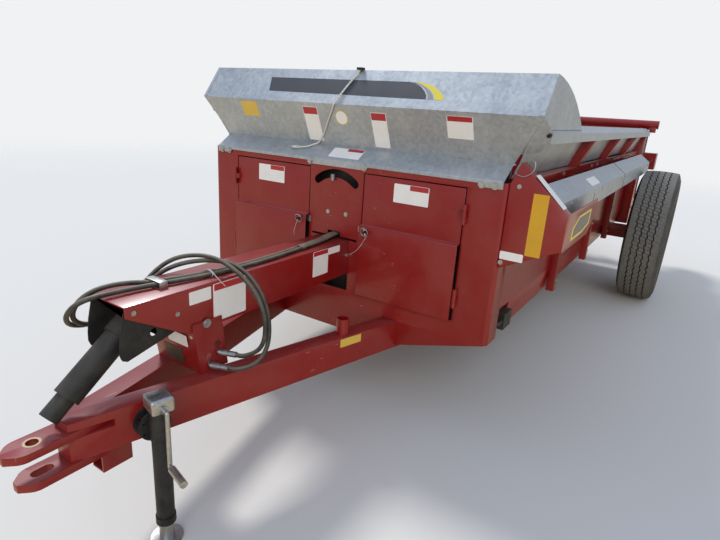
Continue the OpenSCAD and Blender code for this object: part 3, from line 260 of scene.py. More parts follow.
def galvanisedSheet(name, light, dark, metallic=0.6):
    finish, tree = newFinish(name, metallic=metallic)
    tone = use(tree, zincSpangle, "Tone", Scale=70.0)
    base = blendColours(tree, spread(tree, tone, 0.3, 0.85), colour(dark), colour(light))
    dust = use(tree, dustAndSheen, "Mask", Scale=5.0, Amount=0.22, Upward=0.5)
    relief = use(tree, zincSpangle, "Height", Scale=70.0)
    return wired(finish, blendColours(tree, dust, base, colour("b9b2a6")),
                 spread(tree, tone, 0.3, 0.9, 0.36, 0.56), bumps(tree, relief, 0.1, 0.0006))


def bareMetal(name, light, dark, roughness=0.35, metallic=1.0, grain=90.0):
    finish, tree = newFinish(name, metallic=metallic)
    tone = use(tree, mottle, "Value", Scale=grain, Contrast=1.6)
    base = blendColours(tree, tone, colour(dark), colour(light))
    dust = use(tree, dustAndSheen, "Mask", Scale=22.0, Amount=0.12, Upward=0.6)
    return wired(finish, blendColours(tree, dust, base, colour("8d8272")),
                 spread(tree, tone, 0.0, 1.0, roughness - 0.08, roughness + 0.14),
                 bumps(tree, tone, 0.12, 0.0004))


def moulded(name, base, worn, roughness=0.5, grain=220.0, dustAmount=0.18):
    finish, tree = newFinish(name, specular=0.4)
    tone = use(tree, mottle, "Value", Scale=6.0, Contrast=1.3)
    dust = use(tree, dustAndSheen, "Mask", Scale=16.0, Amount=dustAmount, Upward=0.9)
    mixed = blendColours(tree, spread(tree, tone, 0.2, 1.0, 0.0, 0.6), colour(base), colour(worn))
    relief = use(tree, mottle, "Value", Scale=grain, Contrast=1.0)
    return wired(finish, blendColours(tree, dust, mixed, colour("a3977f")),
                 spread(tree, tone, 0.0, 1.0, roughness - 0.08, roughness + 0.12),
                 bumps(tree, relief, 0.15, 0.0006))


def sticker(name, base, worn, roughness=0.4):
    finish, tree = newFinish(name, coat=0.25)
    tone = use(tree, mottle, "Value", Scale=14.0, Contrast=1.4)
    faded = blendColours(tree, spread(tree, tone, 0.35, 1.0, 0.0, 0.5), colour(base), colour(worn))
    return wired(finish, faded, spread(tree, tone, 0.0, 1.0, roughness - 0.1, roughness + 0.1))


def boards(name, boardWidth=0.19):
    finish, tree = newFinish(name, specular=0.3)
    parts = put(tree, "ShaderNodeSeparateXYZ", {0: objectPlace(tree)}).outputs
    row = maths(tree, "DIVIDE", parts["Y"], boardWidth)
    board = maths(tree, "FLOOR", row, 0.0)
    stretch = ((0, parts["X"], 1.5), (1, parts["Y"], 26.0), (2, board, 3.7))
    along = put(tree, "ShaderNodeCombineXYZ",
                {axis: maths(tree, "MULTIPLY", value, factor) for axis, value, factor in stretch}).outputs[0]
    grain = noise(tree, along, 2.2, 8.0, 0.65)
    base = blendColours(tree, spread(tree, grain, 0.3, 0.75), colour("6d5a45"), colour("a08a6c"))
    seam = spread(tree, maths(tree, "PINGPONG", row, 0.5), 0.02, 0.004)
    height = maths(tree, "SUBTRACT", grain, maths(tree, "MULTIPLY", seam, 2.0))
    return wired(finish, blendColours(tree, seam, base, colour("241d16")),
                 spread(tree, grain, 0.2, 0.8, 0.6, 0.85), bumps(tree, height, 0.4, 0.002))


# The steps along one pitch of the tread are (share of the pitch, 1 where a sipe is at its deepest)
tyreSizes = {"pitches": 60, "radius": 0.527, "crownDrop": 0.007, "treadHalf": 0.116, "grooveDepth": 0.012,
             "grooveHalf": 0.0055, "grooveFoot": 0.0038, "zigzag": 0.0045, "sipeDepth": 0.006, "slant": 0.28,
             "grooves": (-0.066, -0.022, 0.022, 0.066), "place": (-2.95, 1.121, 0.527),
             "steps": ((0, 0), (0.21, 0), (0.25, 1), (0.29, 0), (0.5, 0), (0.71, 0), (0.75, 1), (0.79, 0),
                       (1, 0))}


# Rubber that is dusty and worn pale on the running surface and dark down in the grooves
def tyreRubber(name):
    finish, tree = newFinish(name, specular=0.35)
    place = objectPlace(tree)
    hub = at(tyreSizes["place"][0], 0, tyreSizes["place"][2])
    flat = vectors(tree, "MULTIPLY", vectors(tree, "SUBTRACT", place, tuple(hub)), (1, 0, 1))
    reach = put(tree, "ShaderNodeVectorMath", {0: flat}, operation="LENGTH").outputs["Value"]
    worn = spread(tree, reach, tyreSizes["radius"] - tyreSizes["crownDrop"] - 0.005,
                  tyreSizes["radius"] - 0.0055)
    dust = use(tree, dustAndSheen, "Mask", Scale=9.0, Amount=0.5, Upward=0.5)
    tone = spread(tree, use(tree, mottle, "Value", Scale=40.0, Contrast=1.2), 0.2, 0.9)
    dark = blendColours(tree, tone, colour("1f2022"), colour("353536"))
    pale = blendColours(tree, tone, colour("5d5c5a"), colour("77756f"))
    base = blendColours(tree, worn, dark, pale)
    return wired(finish, blendColours(tree, dust, base, colour("8a857c")),
                 spread(tree, dust, 0.0, 1.0, 0.62, 0.9),
                 bumps(tree, noise(tree, place, 260.0, 3.0), 0.25, 0.0008))


def ropeFibre(name):
    finish, tree = newFinish(name, specular=0.2)
    strands = put(tree, "ShaderNodeTexWave", {"Vector": objectPlace(tree), "Scale": 90.0, "Distortion": 1.5},
                  bands_direction="DIAGONAL").outputs["Fac"]
    return wired(finish, blendColours(tree, strands, colour("b9b6ac"), colour("eceae3")),
                 spread(tree, strands, 0.0, 1.0, 0.7, 0.85), bumps(tree, strands, 0.6, 0.001))


finishes = {
    "red_paint": glossPaint("redPaint", "850709", "971517"),
    "beater_paint": glossPaint("beaterPaint", "7c1d20", "96464a", dustAmount=0.4, scuffAmount=0.8,
                               roughness=0.45),
    "galvanised": galvanisedSheet("galvanisedSheet", "c6cbcf", "98a2aa"),
    # Dark sheet for the front wall: painted shade
    "frontWallPaintedShade": galvanisedSheet("frontWallPaintedShade", "2b2c2e", "1a1b1c", metallic=0.2),
    "floor_boards": boards("floorBoards"),
    "black_plastic": moulded("blackPlastic", "141516", "252628", dustAmount=0.12),
    "dark_steel": bareMetal("darkSteel", "4a4b4d", "2b2c2e", roughness=0.5, metallic=0.8, grain=30.0),
    "zinc": bareMetal("zincPlate", "cfd0cd", "a3a5a4", roughness=0.34),
    "chrome_rod": bareMetal("chromeRod", "dfe1e3", "c4c7ca", roughness=0.14, grain=12.0),
    "tyre_rubber": tyreRubber("tyreRubber"),
    "wheel_paint": glossPaint("wheelPaint", "d3d4d2", "dedcd6", dusty="a4937e", dustAmount=0.5,
                              fadeAndSheenAmount=0.2, scuffTone="8a8a88"),
    "hose_rubber": moulded("hoseRubber", "191a1c", "2c2c2e", roughness=0.42, grain=400.0, dustAmount=0.45),
    "rope": ropeFibre("ropeFibre"),
    "labelWhite": sticker("labelWhite", "f0efeb", "dcdad4"),
    "labelYellow": sticker("labelYellow", "dfbc4e", "cdaa44"),
    "labelRed": sticker("labelRed", "b3272c", "9c2227"),
    "tapeAmber": sticker("tapeAmber", "d9a41c", "c08f18", roughness=0.3),
    "decalDark": sticker("decalDark", "35363b", "2a2b30"),
    "decalGrey": sticker("decalGrey", "8d8f92", "7c7e82"),
    "decalYellow": sticker("decalYellow", "e3cf2e", "cdb828"),
    "coverSeam": moulded("coverSeam", "101011", "1c1c1d", dustAmount=0.05),
    "wornSteel": bareMetal("wornSteel", "a5977c", "75654e", roughness=0.45, metallic=0.7),
    "plateBare": bareMetal("plateBare", "6a5f4a", "3f382d", roughness=0.45, metallic=0.5),
}
slotOf = {part["node"]: part["material_slot"] for part in frame["record"]["subparts"]}
for nodeName, cadNode in nodes.items():
    worn = cadNode.data.materials
    if len(worn) == 0:
        worn.append(None)
    for index in range(len(worn)):
        worn[index] = finishes[slotOf[nodeName]]
# The front wall gets a dark sheet finish all over as painted shade, standing in for the deep shade seen
# through the speed lever's slot
nodes["front_wall"].data.materials[0] = finishes["frontWallPaintedShade"]
print("finishes made")


# Geometry Nodes trees
def geometryTree(name, sizes):
    return newTree(name, "GeometryNodeTree", [
        ("Geometry", "INPUT", "Geometry", None), ("Geometry", "OUTPUT", "Geometry", None),
        *((label, "INPUT", "Int" if isinstance(value, int) else "Float", value)
          for label, value in sizes.items()),
        ("Finish", "INPUT", "Material", None)])


def closeTree(tree, geometry, finish, result):
    real = put(tree, "GeometryNodeRealizeInstances", {"Geometry": geometry}).outputs[0]
    dressed = put(tree, "GeometryNodeSetMaterial", {"Geometry": real, "Material": finish}).outputs[0]
    tree.links.new(dressed, result)


def sweepTree():
    tree, given, made = geometryTree("sweptLine", {"Radius": 0.008, "Sides": 12})
    ring = put(tree, "GeometryNodeCurvePrimitiveCircle",
               {"Resolution": given["Sides"], "Radius": given["Radius"]}).outputs["Curve"]
    tube = put(tree, "GeometryNodeCurveToMesh",
               {"Curve": given["Geometry"], "Profile Curve": ring, "Fill Caps": True}).outputs[0]
    smooth = put(tree, "GeometryNodeSetShadeSmooth", {"Geometry": tube}).outputs[0]
    closeTree(tree, smooth, given["Finish"], made["Geometry"])
    return tree


# A bolt on every point: washer, hexagon head and the end of the thread, turned to the point's facing
def boltTree():
    tree, given, made = geometryTree("boltHeads", {
        "Head Radius": 0.009, "Head Height": 0.006, "Washer Radius": 0.012, "Washer Height": 0.002,
        "Head Sides": 6, "Seed": 4})

    def disc(sides, radius, height):
        shape = put(tree, "GeometryNodeMeshCylinder", {"Vertices": sides, "Radius": radius, "Depth": height})
        lifted = put(tree, "ShaderNodeCombineXYZ", {"Z": maths(tree, "MULTIPLY", height, 0.5)}).outputs[0]
        return put(tree, "GeometryNodeTransform",
                   {"Geometry": shape.outputs["Mesh"], "Translation": lifted}).outputs[0]

    head = disc(given["Head Sides"], given["Head Radius"], given["Head Height"])
    washer = disc(20, given["Washer Radius"], given["Washer Height"])
    joined = tree.nodes.new("GeometryNodeJoinGeometry")
    tree.links.new(head, joined.inputs[0])
    tree.links.new(washer, joined.inputs[0])
    facing = put(tree, "GeometryNodeInputNamedAttribute", {"Name": "facing"}, data_type="FLOAT_VECTOR")
    turned = put(tree, "FunctionNodeAlignRotationToVector", {"Vector": facing.outputs["Attribute"]}, axis="Z")
    spin = put(tree, "FunctionNodeRandomValue", {2: 0.0, 3: 1.0, "Seed": given["Seed"]}, data_type="FLOAT")
    twist = put(tree, "ShaderNodeCombineXYZ", {"Z": spin.outputs[1]}).outputs[0]
    spun = put(tree, "FunctionNodeRotateRotation", {"Rotation": turned.outputs[0], "Rotate By": twist},
               rotation_space="LOCAL")
    size = put(tree, "GeometryNodeInputNamedAttribute", {"Name": "size"}, data_type="FLOAT")
    copies = put(tree, "GeometryNodeInstanceOnPoints",
                 {"Points": given["Geometry"], "Instance": joined.outputs[0], "Rotation": spun.outputs[0],
                  "Scale": size.outputs["Attribute"]}).outputs[0]
    closeTree(tree, copies, given["Finish"], made["Geometry"])
    return tree


# One slice of a ring, repeated round the Y axis and joined up
def ringTree():
    tree, given, made = geometryTree("ringOfSlices", {"Count": 60})
    points = put(tree, "GeometryNodePoints", {"Count": given["Count"]}).outputs[0]
    step = maths(tree, "DIVIDE", 2 * math.pi, given["Count"])
    angle = maths(tree, "MULTIPLY", put(tree, "GeometryNodeInputIndex").outputs[0], step)
    turn = put(tree, "ShaderNodeCombineXYZ", {"Y": angle}).outputs[0]
    copies = put(tree, "GeometryNodeInstanceOnPoints",
                 {"Points": points, "Instance": given["Geometry"], "Rotation": turn}).outputs[0]
    real = put(tree, "GeometryNodeRealizeInstances", {"Geometry": copies}).outputs[0]
    merged = put(tree, "GeometryNodeMergeByDistance", {"Geometry": real, "Distance": 0.0001}).outputs[0]
    closeTree(tree, merged, given["Finish"], made["Geometry"])
    return tree


trees = {"sweep": sweepTree(), "bolts": boltTree(), "ring": ringTree()}


def grown(name, source, tree, values):
    bpy.context.scene.collection.objects.link(source)
    modifier = source.modifiers.new(tree.name, "NODES")
    modifier.node_group = tree
    named = {item.name: item.identifier for item in tree.interface.items_tree if item.in_out == "INPUT"}
    for label, value in values.items():
        modifier[named[label]] = value
    bpy.context.view_layer.update()
    seen = source.evaluated_get(bpy.context.evaluated_depsgraph_get())
    mesh = bpy.data.meshes.new_from_object(seen)
    bpy.data.objects.remove(source)
    mesh.name = name
    return added(name, mesh)


def lineObject(name, points, closed=False):
    curve = bpy.data.curves.new(name + "Line", "CURVE")
    curve.dimensions = "3D"
    spline = curve.splines.new("POLY")
    spline.points.add(len(points) - 1)
    for spot, p in zip(spline.points, points):
        spot.co = (*p, 1)
    spline.use_cyclic_u = closed
    return bpy.data.objects.new(name + "Line", curve)


# A tube along the points, on the chassis
def swept(name, points, radius, slot, sides=12, closed=False):
    tube = grown(name, lineObject(name, points, closed), trees["sweep"],
                 {"Radius": radius, "Sides": sides, "Finish": finishes[slot]})
    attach(tube, "chassis")
    return tube


# A smooth curve through the points, with so many steps between two of them
def smoothLine(points, steps=6):
    rounded = []
    for i in range(len(points) - 1):
        a, b = points[max(i - 1, 0)], points[i]
        c, d = points[i + 1], points[min(i + 2, len(points) - 1)]
        for k in range(steps):
            t = k / steps
            rounded.append(0.5 * (2 * b + (c - a) * t + (2 * a - 5 * b + 4 * c - d) * t * t
                                  + (3 * b - a - 3 * c + d) * t * t * t))
    return rounded + [points[-1]]


# Softens a line's bends, its two points at each end kept
def eased(points, rounds):
    for _ in range(rounds):
        inner = [(points[i - 1] + 2 * points[i] + points[i + 1]) / 4 for i in range(2, len(points) - 2)]
        points = points[:2] + inner + points[-2:]
    return points


# Cords: the drawing's own points, in millimetres
hoseRoutes = {
    "hoseLeft": [
        (-103.7, 13, 818), (-40, 13, 818), (32, 12, 815), (120, 23, 809), (283, 41, 809),
        (483, 57, 809), (682, 57, 809), (830, 38, 810), (945, 13, 811.3), (1020, -4, 812),
        (1085, -12, 813), (1140, -18, 813), (1180, -33, 805), (1202, -57, 783), (1207, -88, 748),
        (1188, -120, 710), (1148, -138, 685), (1094, -144, 676), (1036, -144, 684), (980, -141, 712),
        (925, -135, 758), (876, -122, 808), (824, -86, 850), (772, -26, 864), (744, 40, 858),
        (730, 104, 834), (720, 160, 798), (710, 206, 746), (710, 236, 686), (716, 246, 622),
        (730, 236, 566), (760.8, 190, 536.3), (771, 162, 536.3)],
    "hoseRight": [
        (-103.7, -7, 818), (-40, -7, 818), (32, -8, 815), (120, 4, 809), (283, 22, 809), (483, 38, 809),
        (682, 36, 809), (830, 14, 810), (945, -17, 811.3), (974, -27, 811.3), (1012, -42, 817),
        (1072, -60, 820), (1126, -72, 812), (1166, -84, 788), (1182, -98, 752), (1172, -112, 716),
        (1136, -121, 690), (1080, -125, 682), (1015, -124, 698), (958, -120, 736), (905, -110, 782),
        (852, -88, 818), (795, -42, 840), (742, 14, 846), (704, 74, 838), (686, 130, 808),
        (678, 180, 760), (678, 218, 698), (688, 240, 628), (708, 246, 562), (748, 232, 514),
        (799.8, 190, 500.3), (810, 162, 500.3)],
}
ropeRoute = [(-97, 31, 1550), (-84.5, 22, 1528), (-64, 10, 1501), (-38, -6, 1464), (-8, -20, 1424),
             (6, -30, 1398), (-5, -44, 1378), (-27, -80, 1330), (-47, -110, 1286), (-64, -138, 1250),
             (-70, -166, 1222), (-62, -190, 1211), (-48, -211, 1201), (-42, -232, 1197), (-40, -250, 1195)]
cordSizes = {"hoseRadius": 0.008, "hoseEasing": 8, "ropeRadius": 0.004, "eyeFrom": (0.004, -0.022, -0.001),
             "eyeLong": 0.018, "eyeWide": 0.02, "eyeRadius": 0.005}


def makeCords():
    for name, node in (("hoseLeft", "hose_left"), ("hoseRight", "hose_right")):
        path = eased(smoothLine(millimetres(hoseRoutes[name])), cordSizes["hoseEasing"])
        hose = swept(name, path, cordSizes["hoseRadius"], "hose_rubber", sides=16)
        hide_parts(node)
    path = smoothLine(millimetres(ropeRoute))
    rope = swept("pullRope", path, cordSizes["ropeRadius"], "rope", sides=10)
    middle = path[-1] + Vector(cordSizes["eyeFrom"])
    ring = [middle + Vector((cordSizes["eyeLong"] * math.cos(a), cordSizes["eyeWide"] * math.sin(a), 0))
            for a in turns(24)]
    eye = swept("ropeEye", ring, cordSizes["eyeRadius"], "rope", closed=True)
    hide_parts("pull_rope")


makeCords()
print("cords laid")


# Bolts, listed as (x, y, z, facing, size); those on both sides as (x, z, size)
left, front = (0, 1, 0), (1, 0, 0)
stakeX = [-1.06, -1.96, -2.86]


def bothSides(y, rows):
    return [(x, side * y, z, (0, side, 0), size) for side in (1, -1) for x, z, size in rows]


boltRows = {
    "shelfBolts": [(0.004, y, 1.141, front, 1.3) for y in (-0.745, -0.692, 0.692, 0.745)]
    + [(0.004, y, 1.143, front, 1.3) for y in (-0.152, 0.152)],
    "leverBolts": [(0, -0.038, 0.919, front, 1.0), (0, 0.064, 0.920, front, 1.0)],
    "channelBolts": bothSides(0.09, [(1.103, 0.776, 0.8), (0.952, 0.727, 0.8), (0.012, 0.733, 1.0)])
    + bothSides(0.096, [(0.842, 0.662, 1.55)]),
    "guardBolts": [(0, 0.806, 0.852, front, 0.8), (0, 0.835, 1.150, front, 0.7)],
    "flangeBolts": [(-0.0749, side * 0.8931, 1.3358, (0.568, side * 0.568, -0.596), 0.8) for side in (1, -1)],
    "sideBolts": bothSides(0.818, [(x, z, 1.0) for x in stakeX for z in (0.52, 0.72, 0.96, 1.09)])
    + bothSides(0.822, [(x + dx, 1.147, 0.9) for x in stakeX for dx in (-0.42, 0.3)]),
    "coverBolts": [(x, 0.97, 1.072, left, 0.8) for x in (-0.3, -1.02, -1.72, -1.96, -2.6, -3.3)],
    "postBolts": [(0.8895, y, 0.623, (0.987, 0, 0.158), 0.9) for y in (-0.078, 0.078)],
    "rearBolts": bothSides(0.865, [(-3.82, z, 1.1) for z in (0.62, 0.86, 1.10, 1.34)]),
}
domed = {"Head Sides": 16, "Head Radius": 0.0085, "Head Height": 0.005, "Washer Radius": 0.0105}
boltShapes = {"leverBolts": domed, "channelBolts": domed, "postBolts": domed}
boltSlots = {"flangeBolts": "dark_steel"}


def makeBolts():
    for name, rows in boltRows.items():
        mesh = bpy.data.meshes.new(name + "Points")
        mesh.from_pydata([at(*row[:3]) for row in rows], [], [])
        facing = mesh.attributes.new("facing", "FLOAT_VECTOR", "POINT")
        facing.data.foreach_set("vector", [v for row in rows for v in row[3]])
        size = mesh.attributes.new("size", "FLOAT", "POINT")
        size.data.foreach_set("value", [row[4] for row in rows])
        slot = boltSlots.get(name, "zinc")
        piece = grown(name, bpy.data.objects.new(name + "Points", mesh), trees["bolts"],
                      {"Finish": finishes[slot], **boltShapes.get(name, {})})
        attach(piece, "chassis")


makeBolts()
print("bolts placed")


# Pieces in mesh code: an outline on a face, given as (across, up), is pushed out along the face's normal
bodyOf = {node: body for body, members in frame["record"]["behaviour"]["bodies"].items() for node in members}


def roundedOutline(width, height, corner, steps=3):
    outline = []
    for sideways, upright, start in ((1, -1, -90), (1, 1, 0), (-1, 1, 90), (-1, -1, 180)):
        for k in range(steps + 1):
            turn = math.radians(start + 90 * k / steps)
            outline.append((sideways * (width / 2 - corner) + corner * math.cos(turn),
                            upright * (height / 2 - corner) + corner * math.sin(turn)))
    return outline


def joinLoops(work, loops):
    for first, second in zip(loops, loops[1:]):
        for i in range(len(first)):
            j = (i + 1) % len(first)
            work.faces.new((first[i], first[j], second[j], second[i]))


def pushOut(work, origin, across, upward, outline, depth, lift=0.0):
    across, upward = Vector(across).normalized(), Vector(upward).normalized()
    normal = across.cross(upward)
    lower = [work.verts.new(origin + across * u + upward * v + normal * lift) for u, v in outline]
    upper = [work.verts.new(vertex.co + normal * depth) for vertex in lower]
    work.faces.new(lower[::-1])
    work.faces.new(upper)
    joinLoops(work, [lower, upper])


def roundEdges(work, width, least, segments=2, wanted=lambda edge: True):
    chosen = [edge for edge in work.edges if len(edge.link_faces) == 2 and edge.calc_length() > least
              and edge.calc_face_angle(0) > math.radians(30) and wanted(edge)]
    bmesh.ops.bevel(work, geom=chosen, offset=width, offset_type="OFFSET", segments=segments, profile=0.5,
                    affect="EDGES", clamp_overlap=True)


# Upright corners of the hitch plates' tips, which are rounded wider than the other edges
hitchTip = {"from": 1.38, "beyond": 0.03, "radius": 0.016, "least": 0.012, "segments": 4}


def atHitchTip(edge):
    first, last = (vertex.co for vertex in edge.verts)
    upright = (first - last).xy.length < 0.0001
    return upright and first.x - shieldX > hitchTip["from"] and abs(first.y) > hitchTip["beyond"]


def newPiece(name, work, slot, body="chassis", sharp=None):
    mesh = bpy.data.meshes.new(name)
    work.to_mesh(mesh)
    work.free()
    mesh.materials.append(finishes[slot])
    if sharp is not None:
        mesh.shade_smooth()
        mesh.set_sharp_from_angle(angle=math.radians(sharp))
    piece = added(name, mesh)
    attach(piece, body)
    return piece


# CAD nodes shown by a merged copy with rounded edges: node, piece, edge width, shortest edge that is rounded
roundedNodes = [
    ("drawbar", "drawbarBody", 0.005, 0.03), ("hitch_clevis", "hitchPlates", 0.0025, 0.012),
    ("pto_channel", "channelCover", 0.003, 0.02), ("pto_post", "channelPost", 0.0015, 0.012),
    ("front_shield", "shieldTray", 0.0012, 0.03), ("door_left", "doorLeft", 0.0012, 0.03),
    ("door_right", "doorRight", 0.0012, 0.03), ("corner_guard", "cornerGuard", 0.0012, 0.02),
    ("stakes", "sideStakes", 0.003, 0.03), ("shelf", "frontShelf", 0.0012, 0.03),
    ("lower_panels", "lowerPanels", 0.003, 0.03), ("rear_frame", "rearPosts", 0.003, 0.03),
    ("gate_panel", "endGate", 0.003, 0.03), ("axle", "axleBeam", 0.004, 0.03),
    ("jack_cap", "jackCap", 0.009, 0.04), ("jack_mount", "jackMount", 0.0012, 0.01),
    ("pto_guard", "channelGuard", 0.0012, 0.012), ("frame_sills", "frameSills", 0.004, 0.03),
    ("hose_clamp", "hoseClamp", 0.001, 0.01)]


def makeRounded():
    for nodeName, pieceName, width, least in roundedNodes:
        work = bmesh.new()
        work.from_mesh(nodes[nodeName].data)
        bmesh.ops.remove_doubles(work, verts=work.verts, dist=0.00002)
        bmesh.ops.dissolve_limit(work, angle_limit=math.radians(0.5), verts=work.verts, edges=work.edges)
        if nodeName == "hitch_clevis":
            roundEdges(work, hitchTip["radius"], hitchTip["least"], hitchTip["segments"], atHitchTip)
        roundEdges(work, width, least)
        piece = newPiece(pieceName, work, slotOf[nodeName], bodyOf[nodeName], sharp=32)
        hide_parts(nodeName)


makeRounded()
print("edges rounded")

# Faces that sheets, plates and labels lie on: their across and up directions
faces = {"front": ((0, 1, 0), (0, 0, 1)), "left": ((-1, 0, 0), (0, 0, 1)),
         "panelUpper": ((0, 1, 0), (-0.581, 0, 0.814)), "panelLower": ((0, 1, 0), (0.415, 0, 0.91)),
         "shelf": ((0, 1, 0), (-0.823, 0, 0.568)), "guardTop": ((-1, 0, 0), (0, -0.727, 0.687)),
         "post": ((0, 1, 0), (0.158, 0, 0.987)), "beam": ((-0.968, 0.251, 0), (0, 0, 1)),
         "coverTop": ((-1, 0, 0), (0, -0.7856, 0.6187))}
panelFold = (0, 0, 1.401)

# Ends of the front panel: a flange bent back from the slanted edge, and a hem beside the wing.
# The flange is (across, up) from the slanted edge's foot, the hem (sideways, up) from the fold's middle
panelEnd = {"foot": (-0.0866, 0.776, 1.2207), "across": (-0.7377, 0.6722, -0.0624),
            "upward": (0.3651, 0.4751, 0.8006), "sheet": 0.002,
            "flange": [(0, 0.050), (0.074, 0.072), (0.080, 0.158), (0.050, 0.184), (0, 0.226)],
            "hem": [(0.863, 0.003), (0.8835, 0.003), (0.8835, 0.182), (0.863, 0.182)], "hemHeight": 0.0012}


def makePanelEnds():
    flanges, hems = bmesh.new(), bmesh.new()
    x, y, z = panelEnd["foot"]
    for side in (1, -1):
        across, upward = (Vector((a, side * b, c)) for a, b, c in (panelEnd["across"], panelEnd["upward"]))
        flange, hem = ([(side * u, v) for u, v in panelEnd[part]][::side] for part in ("flange", "hem"))
        pushOut(flanges, at(x, side * y, z), side * across, upward, flange, panelEnd["sheet"])
        pushOut(hems, at(*panelFold), *faces["panelUpper"], hem, panelEnd["hemHeight"])
    newPiece("panelFlanges", flanges, "galvanised")
    newPiece("panelHems", hems, "galvanised")


makePanelEnds()
print("panel ends made")

# Tyres: one pitch of the tread, repeated round the wheel
sidewall = [(0.1215, 0.5085), (0.1300, 0.4860), (0.1340, 0.4710), (0.1362, 0.4700), (0.1388, 0.4450),
            (0.1392, 0.4200), (0.1384, 0.3950), (0.1350, 0.3600), (0.1310, 0.3300), (0.1322, 0.3270),
            (0.1270, 0.3080), (0.1240, 0.2980), (0.1130, 0.2890), (0.1004, 0.2868)]


def crown(y, drop=0.0):
    return (y, tyreSizes["radius"] - tyreSizes["crownDrop"] * (y / tyreSizes["treadHalf"]) ** 2 - drop)


def tyreProfile(zig, sipe):
    depth, half, foot = (tyreSizes[k] for k in ("grooveDepth", "grooveHalf", "grooveFoot"))
    centres = [g + zig for g in tyreSizes["grooves"]]
    walls = [v for g in centres for v in (g - half, g + half)]
    edges = [-tyreSizes["treadHalf"], *walls, tyreSizes["treadHalf"]]
    profile = [(-y, r) for y, r in reversed(sidewall)]
    for i in range(len(centres) + 1):
        first, last = edges[2 * i], edges[2 * i + 1]
        outer = i in (0, len(centres))
        cut = sipe * (0.5 if outer else 1)
        profile += [crown(first, 0 if i == 0 else cut), crown((first + last) / 2, cut),
                    crown(last, 0 if i == len(centres) else cut)]
        if i < len(centres):
            profile += [crown(centres[i] - foot, depth), crown(centres[i] + foot, depth)]
    return profile + sidewall


def makeTyre(name, side, node, body):
    work = bmesh.new()
    rows = []
    for share, sipe in tyreSizes["steps"]:
        zig = tyreSizes["zigzag"] * (4 * min(share, 1 - share) - 1)
        row = []
        for y, r in tyreProfile(zig, sipe * tyreSizes["sipeDepth"]):
            turn = 2 * math.pi / tyreSizes["pitches"] * share + tyreSizes["slant"] * y / tyreSizes["radius"]
            row.append(work.verts.new((r * math.sin(turn), y, r * math.cos(turn))))
        rows.append(row)
    joinLoops(work, rows)
    pitch = bpy.data.meshes.new(name + "Pitch")
    work.to_mesh(pitch)
    work.free()
    tyre = grown(name, bpy.data.objects.new(name + "Pitch", pitch), trees["ring"],
                 {"Count": tyreSizes["pitches"], "Finish": finishes["tyre_rubber"]})
    x, y, z = tyreSizes["place"]
    tyre.data.transform(Matrix.Translation(at(x, side * y, z)))
    work = bmesh.new()
    work.from_mesh(tyre.data)
    bmesh.ops.recalc_face_normals(work, faces=work.faces)
    work.to_mesh(tyre.data)
    work.free()
    tyre.data.shade_smooth()
    tyre.data.set_sharp_from_angle(angle=math.radians(28))
    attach(tyre, body)
    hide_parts(node)


makeTyre("tyreLeft", 1, "tyre_left", "wheel_left")
makeTyre("tyreRight", -1, "tyre_right", "wheel_right")
print("tyres treaded")


def onLowerPanel(y, z):
    return (-0.083 + (z - 1.219) * 0.083 / 0.182, y, z)


# Labels: face, centre, width, height, then the red band's share of the width and of the height
labels = [("front", (0, -0.3985, 1.055), 0.170, 0.080, 0.52, 0.26),
          ("front", (0, 0.390, 1.055), 0.166, 0.080, 0.52, 0.26),
          ("front", (0, 0.844, 0.882), 0.090, 0.032, 0, 0),
          ("left", (0.860, 0.09, 0.764), 0.090, 0.045, 0, 0),
          ("left", (0.731, 0.09, 0.721), 0.150, 0.138, 0.94, 0.17),
          ("left", (0.211, 0.09, 0.739), 0.105, 0.112, 0.94, 0.17),
          ("left", (0.115, 0.09, 0.779), 0.085, 0.030, 0, 0),
          ("post", (0.8935, 0.004, 0.598), 0.104, 0.046, 0, 0),
          ("panelLower", onLowerPanel(-0.178, 1.308), 0.085, 0.165, 0.94, 0.2),
          ("panelLower", onLowerPanel(0.191, 1.303), 0.077, 0.160, 0.94, 0.2),
          ("panelLower", onLowerPanel(0.563, 1.341), 0.110, 0.094, 0.94, 0.22),
          ("shelf", (-0.040, 0.021, 1.189), 0.168, 0.066, 0.5, 0.26),
          ("guardTop", (-0.031, 0.945, 1.142), 0.054, 0.158, 0, 0),
          ("coverTop", (-0.902, 0.938, 1.1142), 0.210, 0.047, 0, 0)]
strips = {"tapeAmber": [("front", (0, 0.9205, 1.0145), 0.057, 0.235)],
          "labelYellow": [("panelLower", onLowerPanel(-0.566, 1.355), 0.107, 0.075),
                          ("beam", (0.262, 0.3052, 0.453), 0.114, 0.036)],
          "coverSeam": [("coverTop", (-1.8515, 0.930, 1.1205), 0.012, 0.100),
                        ("left", (-1.8515, 0.970, 1.047), 0.012, 0.083),
                        ("left", (-0.815, 0.970, 1.045), 0.010, 0.042)],
          "plateBare": [("post", (0.8775, -0.036, 0.521), 0.096, 0.066)]}
labelSizes = {"sheet": 0.0007, "corner": 0.004, "band": 0.0004, "bandCorner": 0.002, "bandMargin": 0.003,
              "bandTop": 0.485, "wholeWidth": 0.9}
roundLabel = {"place": onLowerPanel(-0.005, 1.344), "radius": 0.034, "rim": 0.004, "sheet": 0.0006}


def makeRoundLabel(white):
    rim, sheet = bmesh.new(), roundLabel["sheet"]
    for work, radius, lift in ((rim, roundLabel["radius"], 0.0),
                               (white, roundLabel["radius"] - roundLabel["rim"], sheet)):
        pushOut(work, at(*roundLabel["place"]), *faces["panelLower"],
                roundedOutline(2 * radius, 2 * radius, radius, steps=8), sheet, lift)
    newPiece("roundLabelRim", rim, "labelYellow")


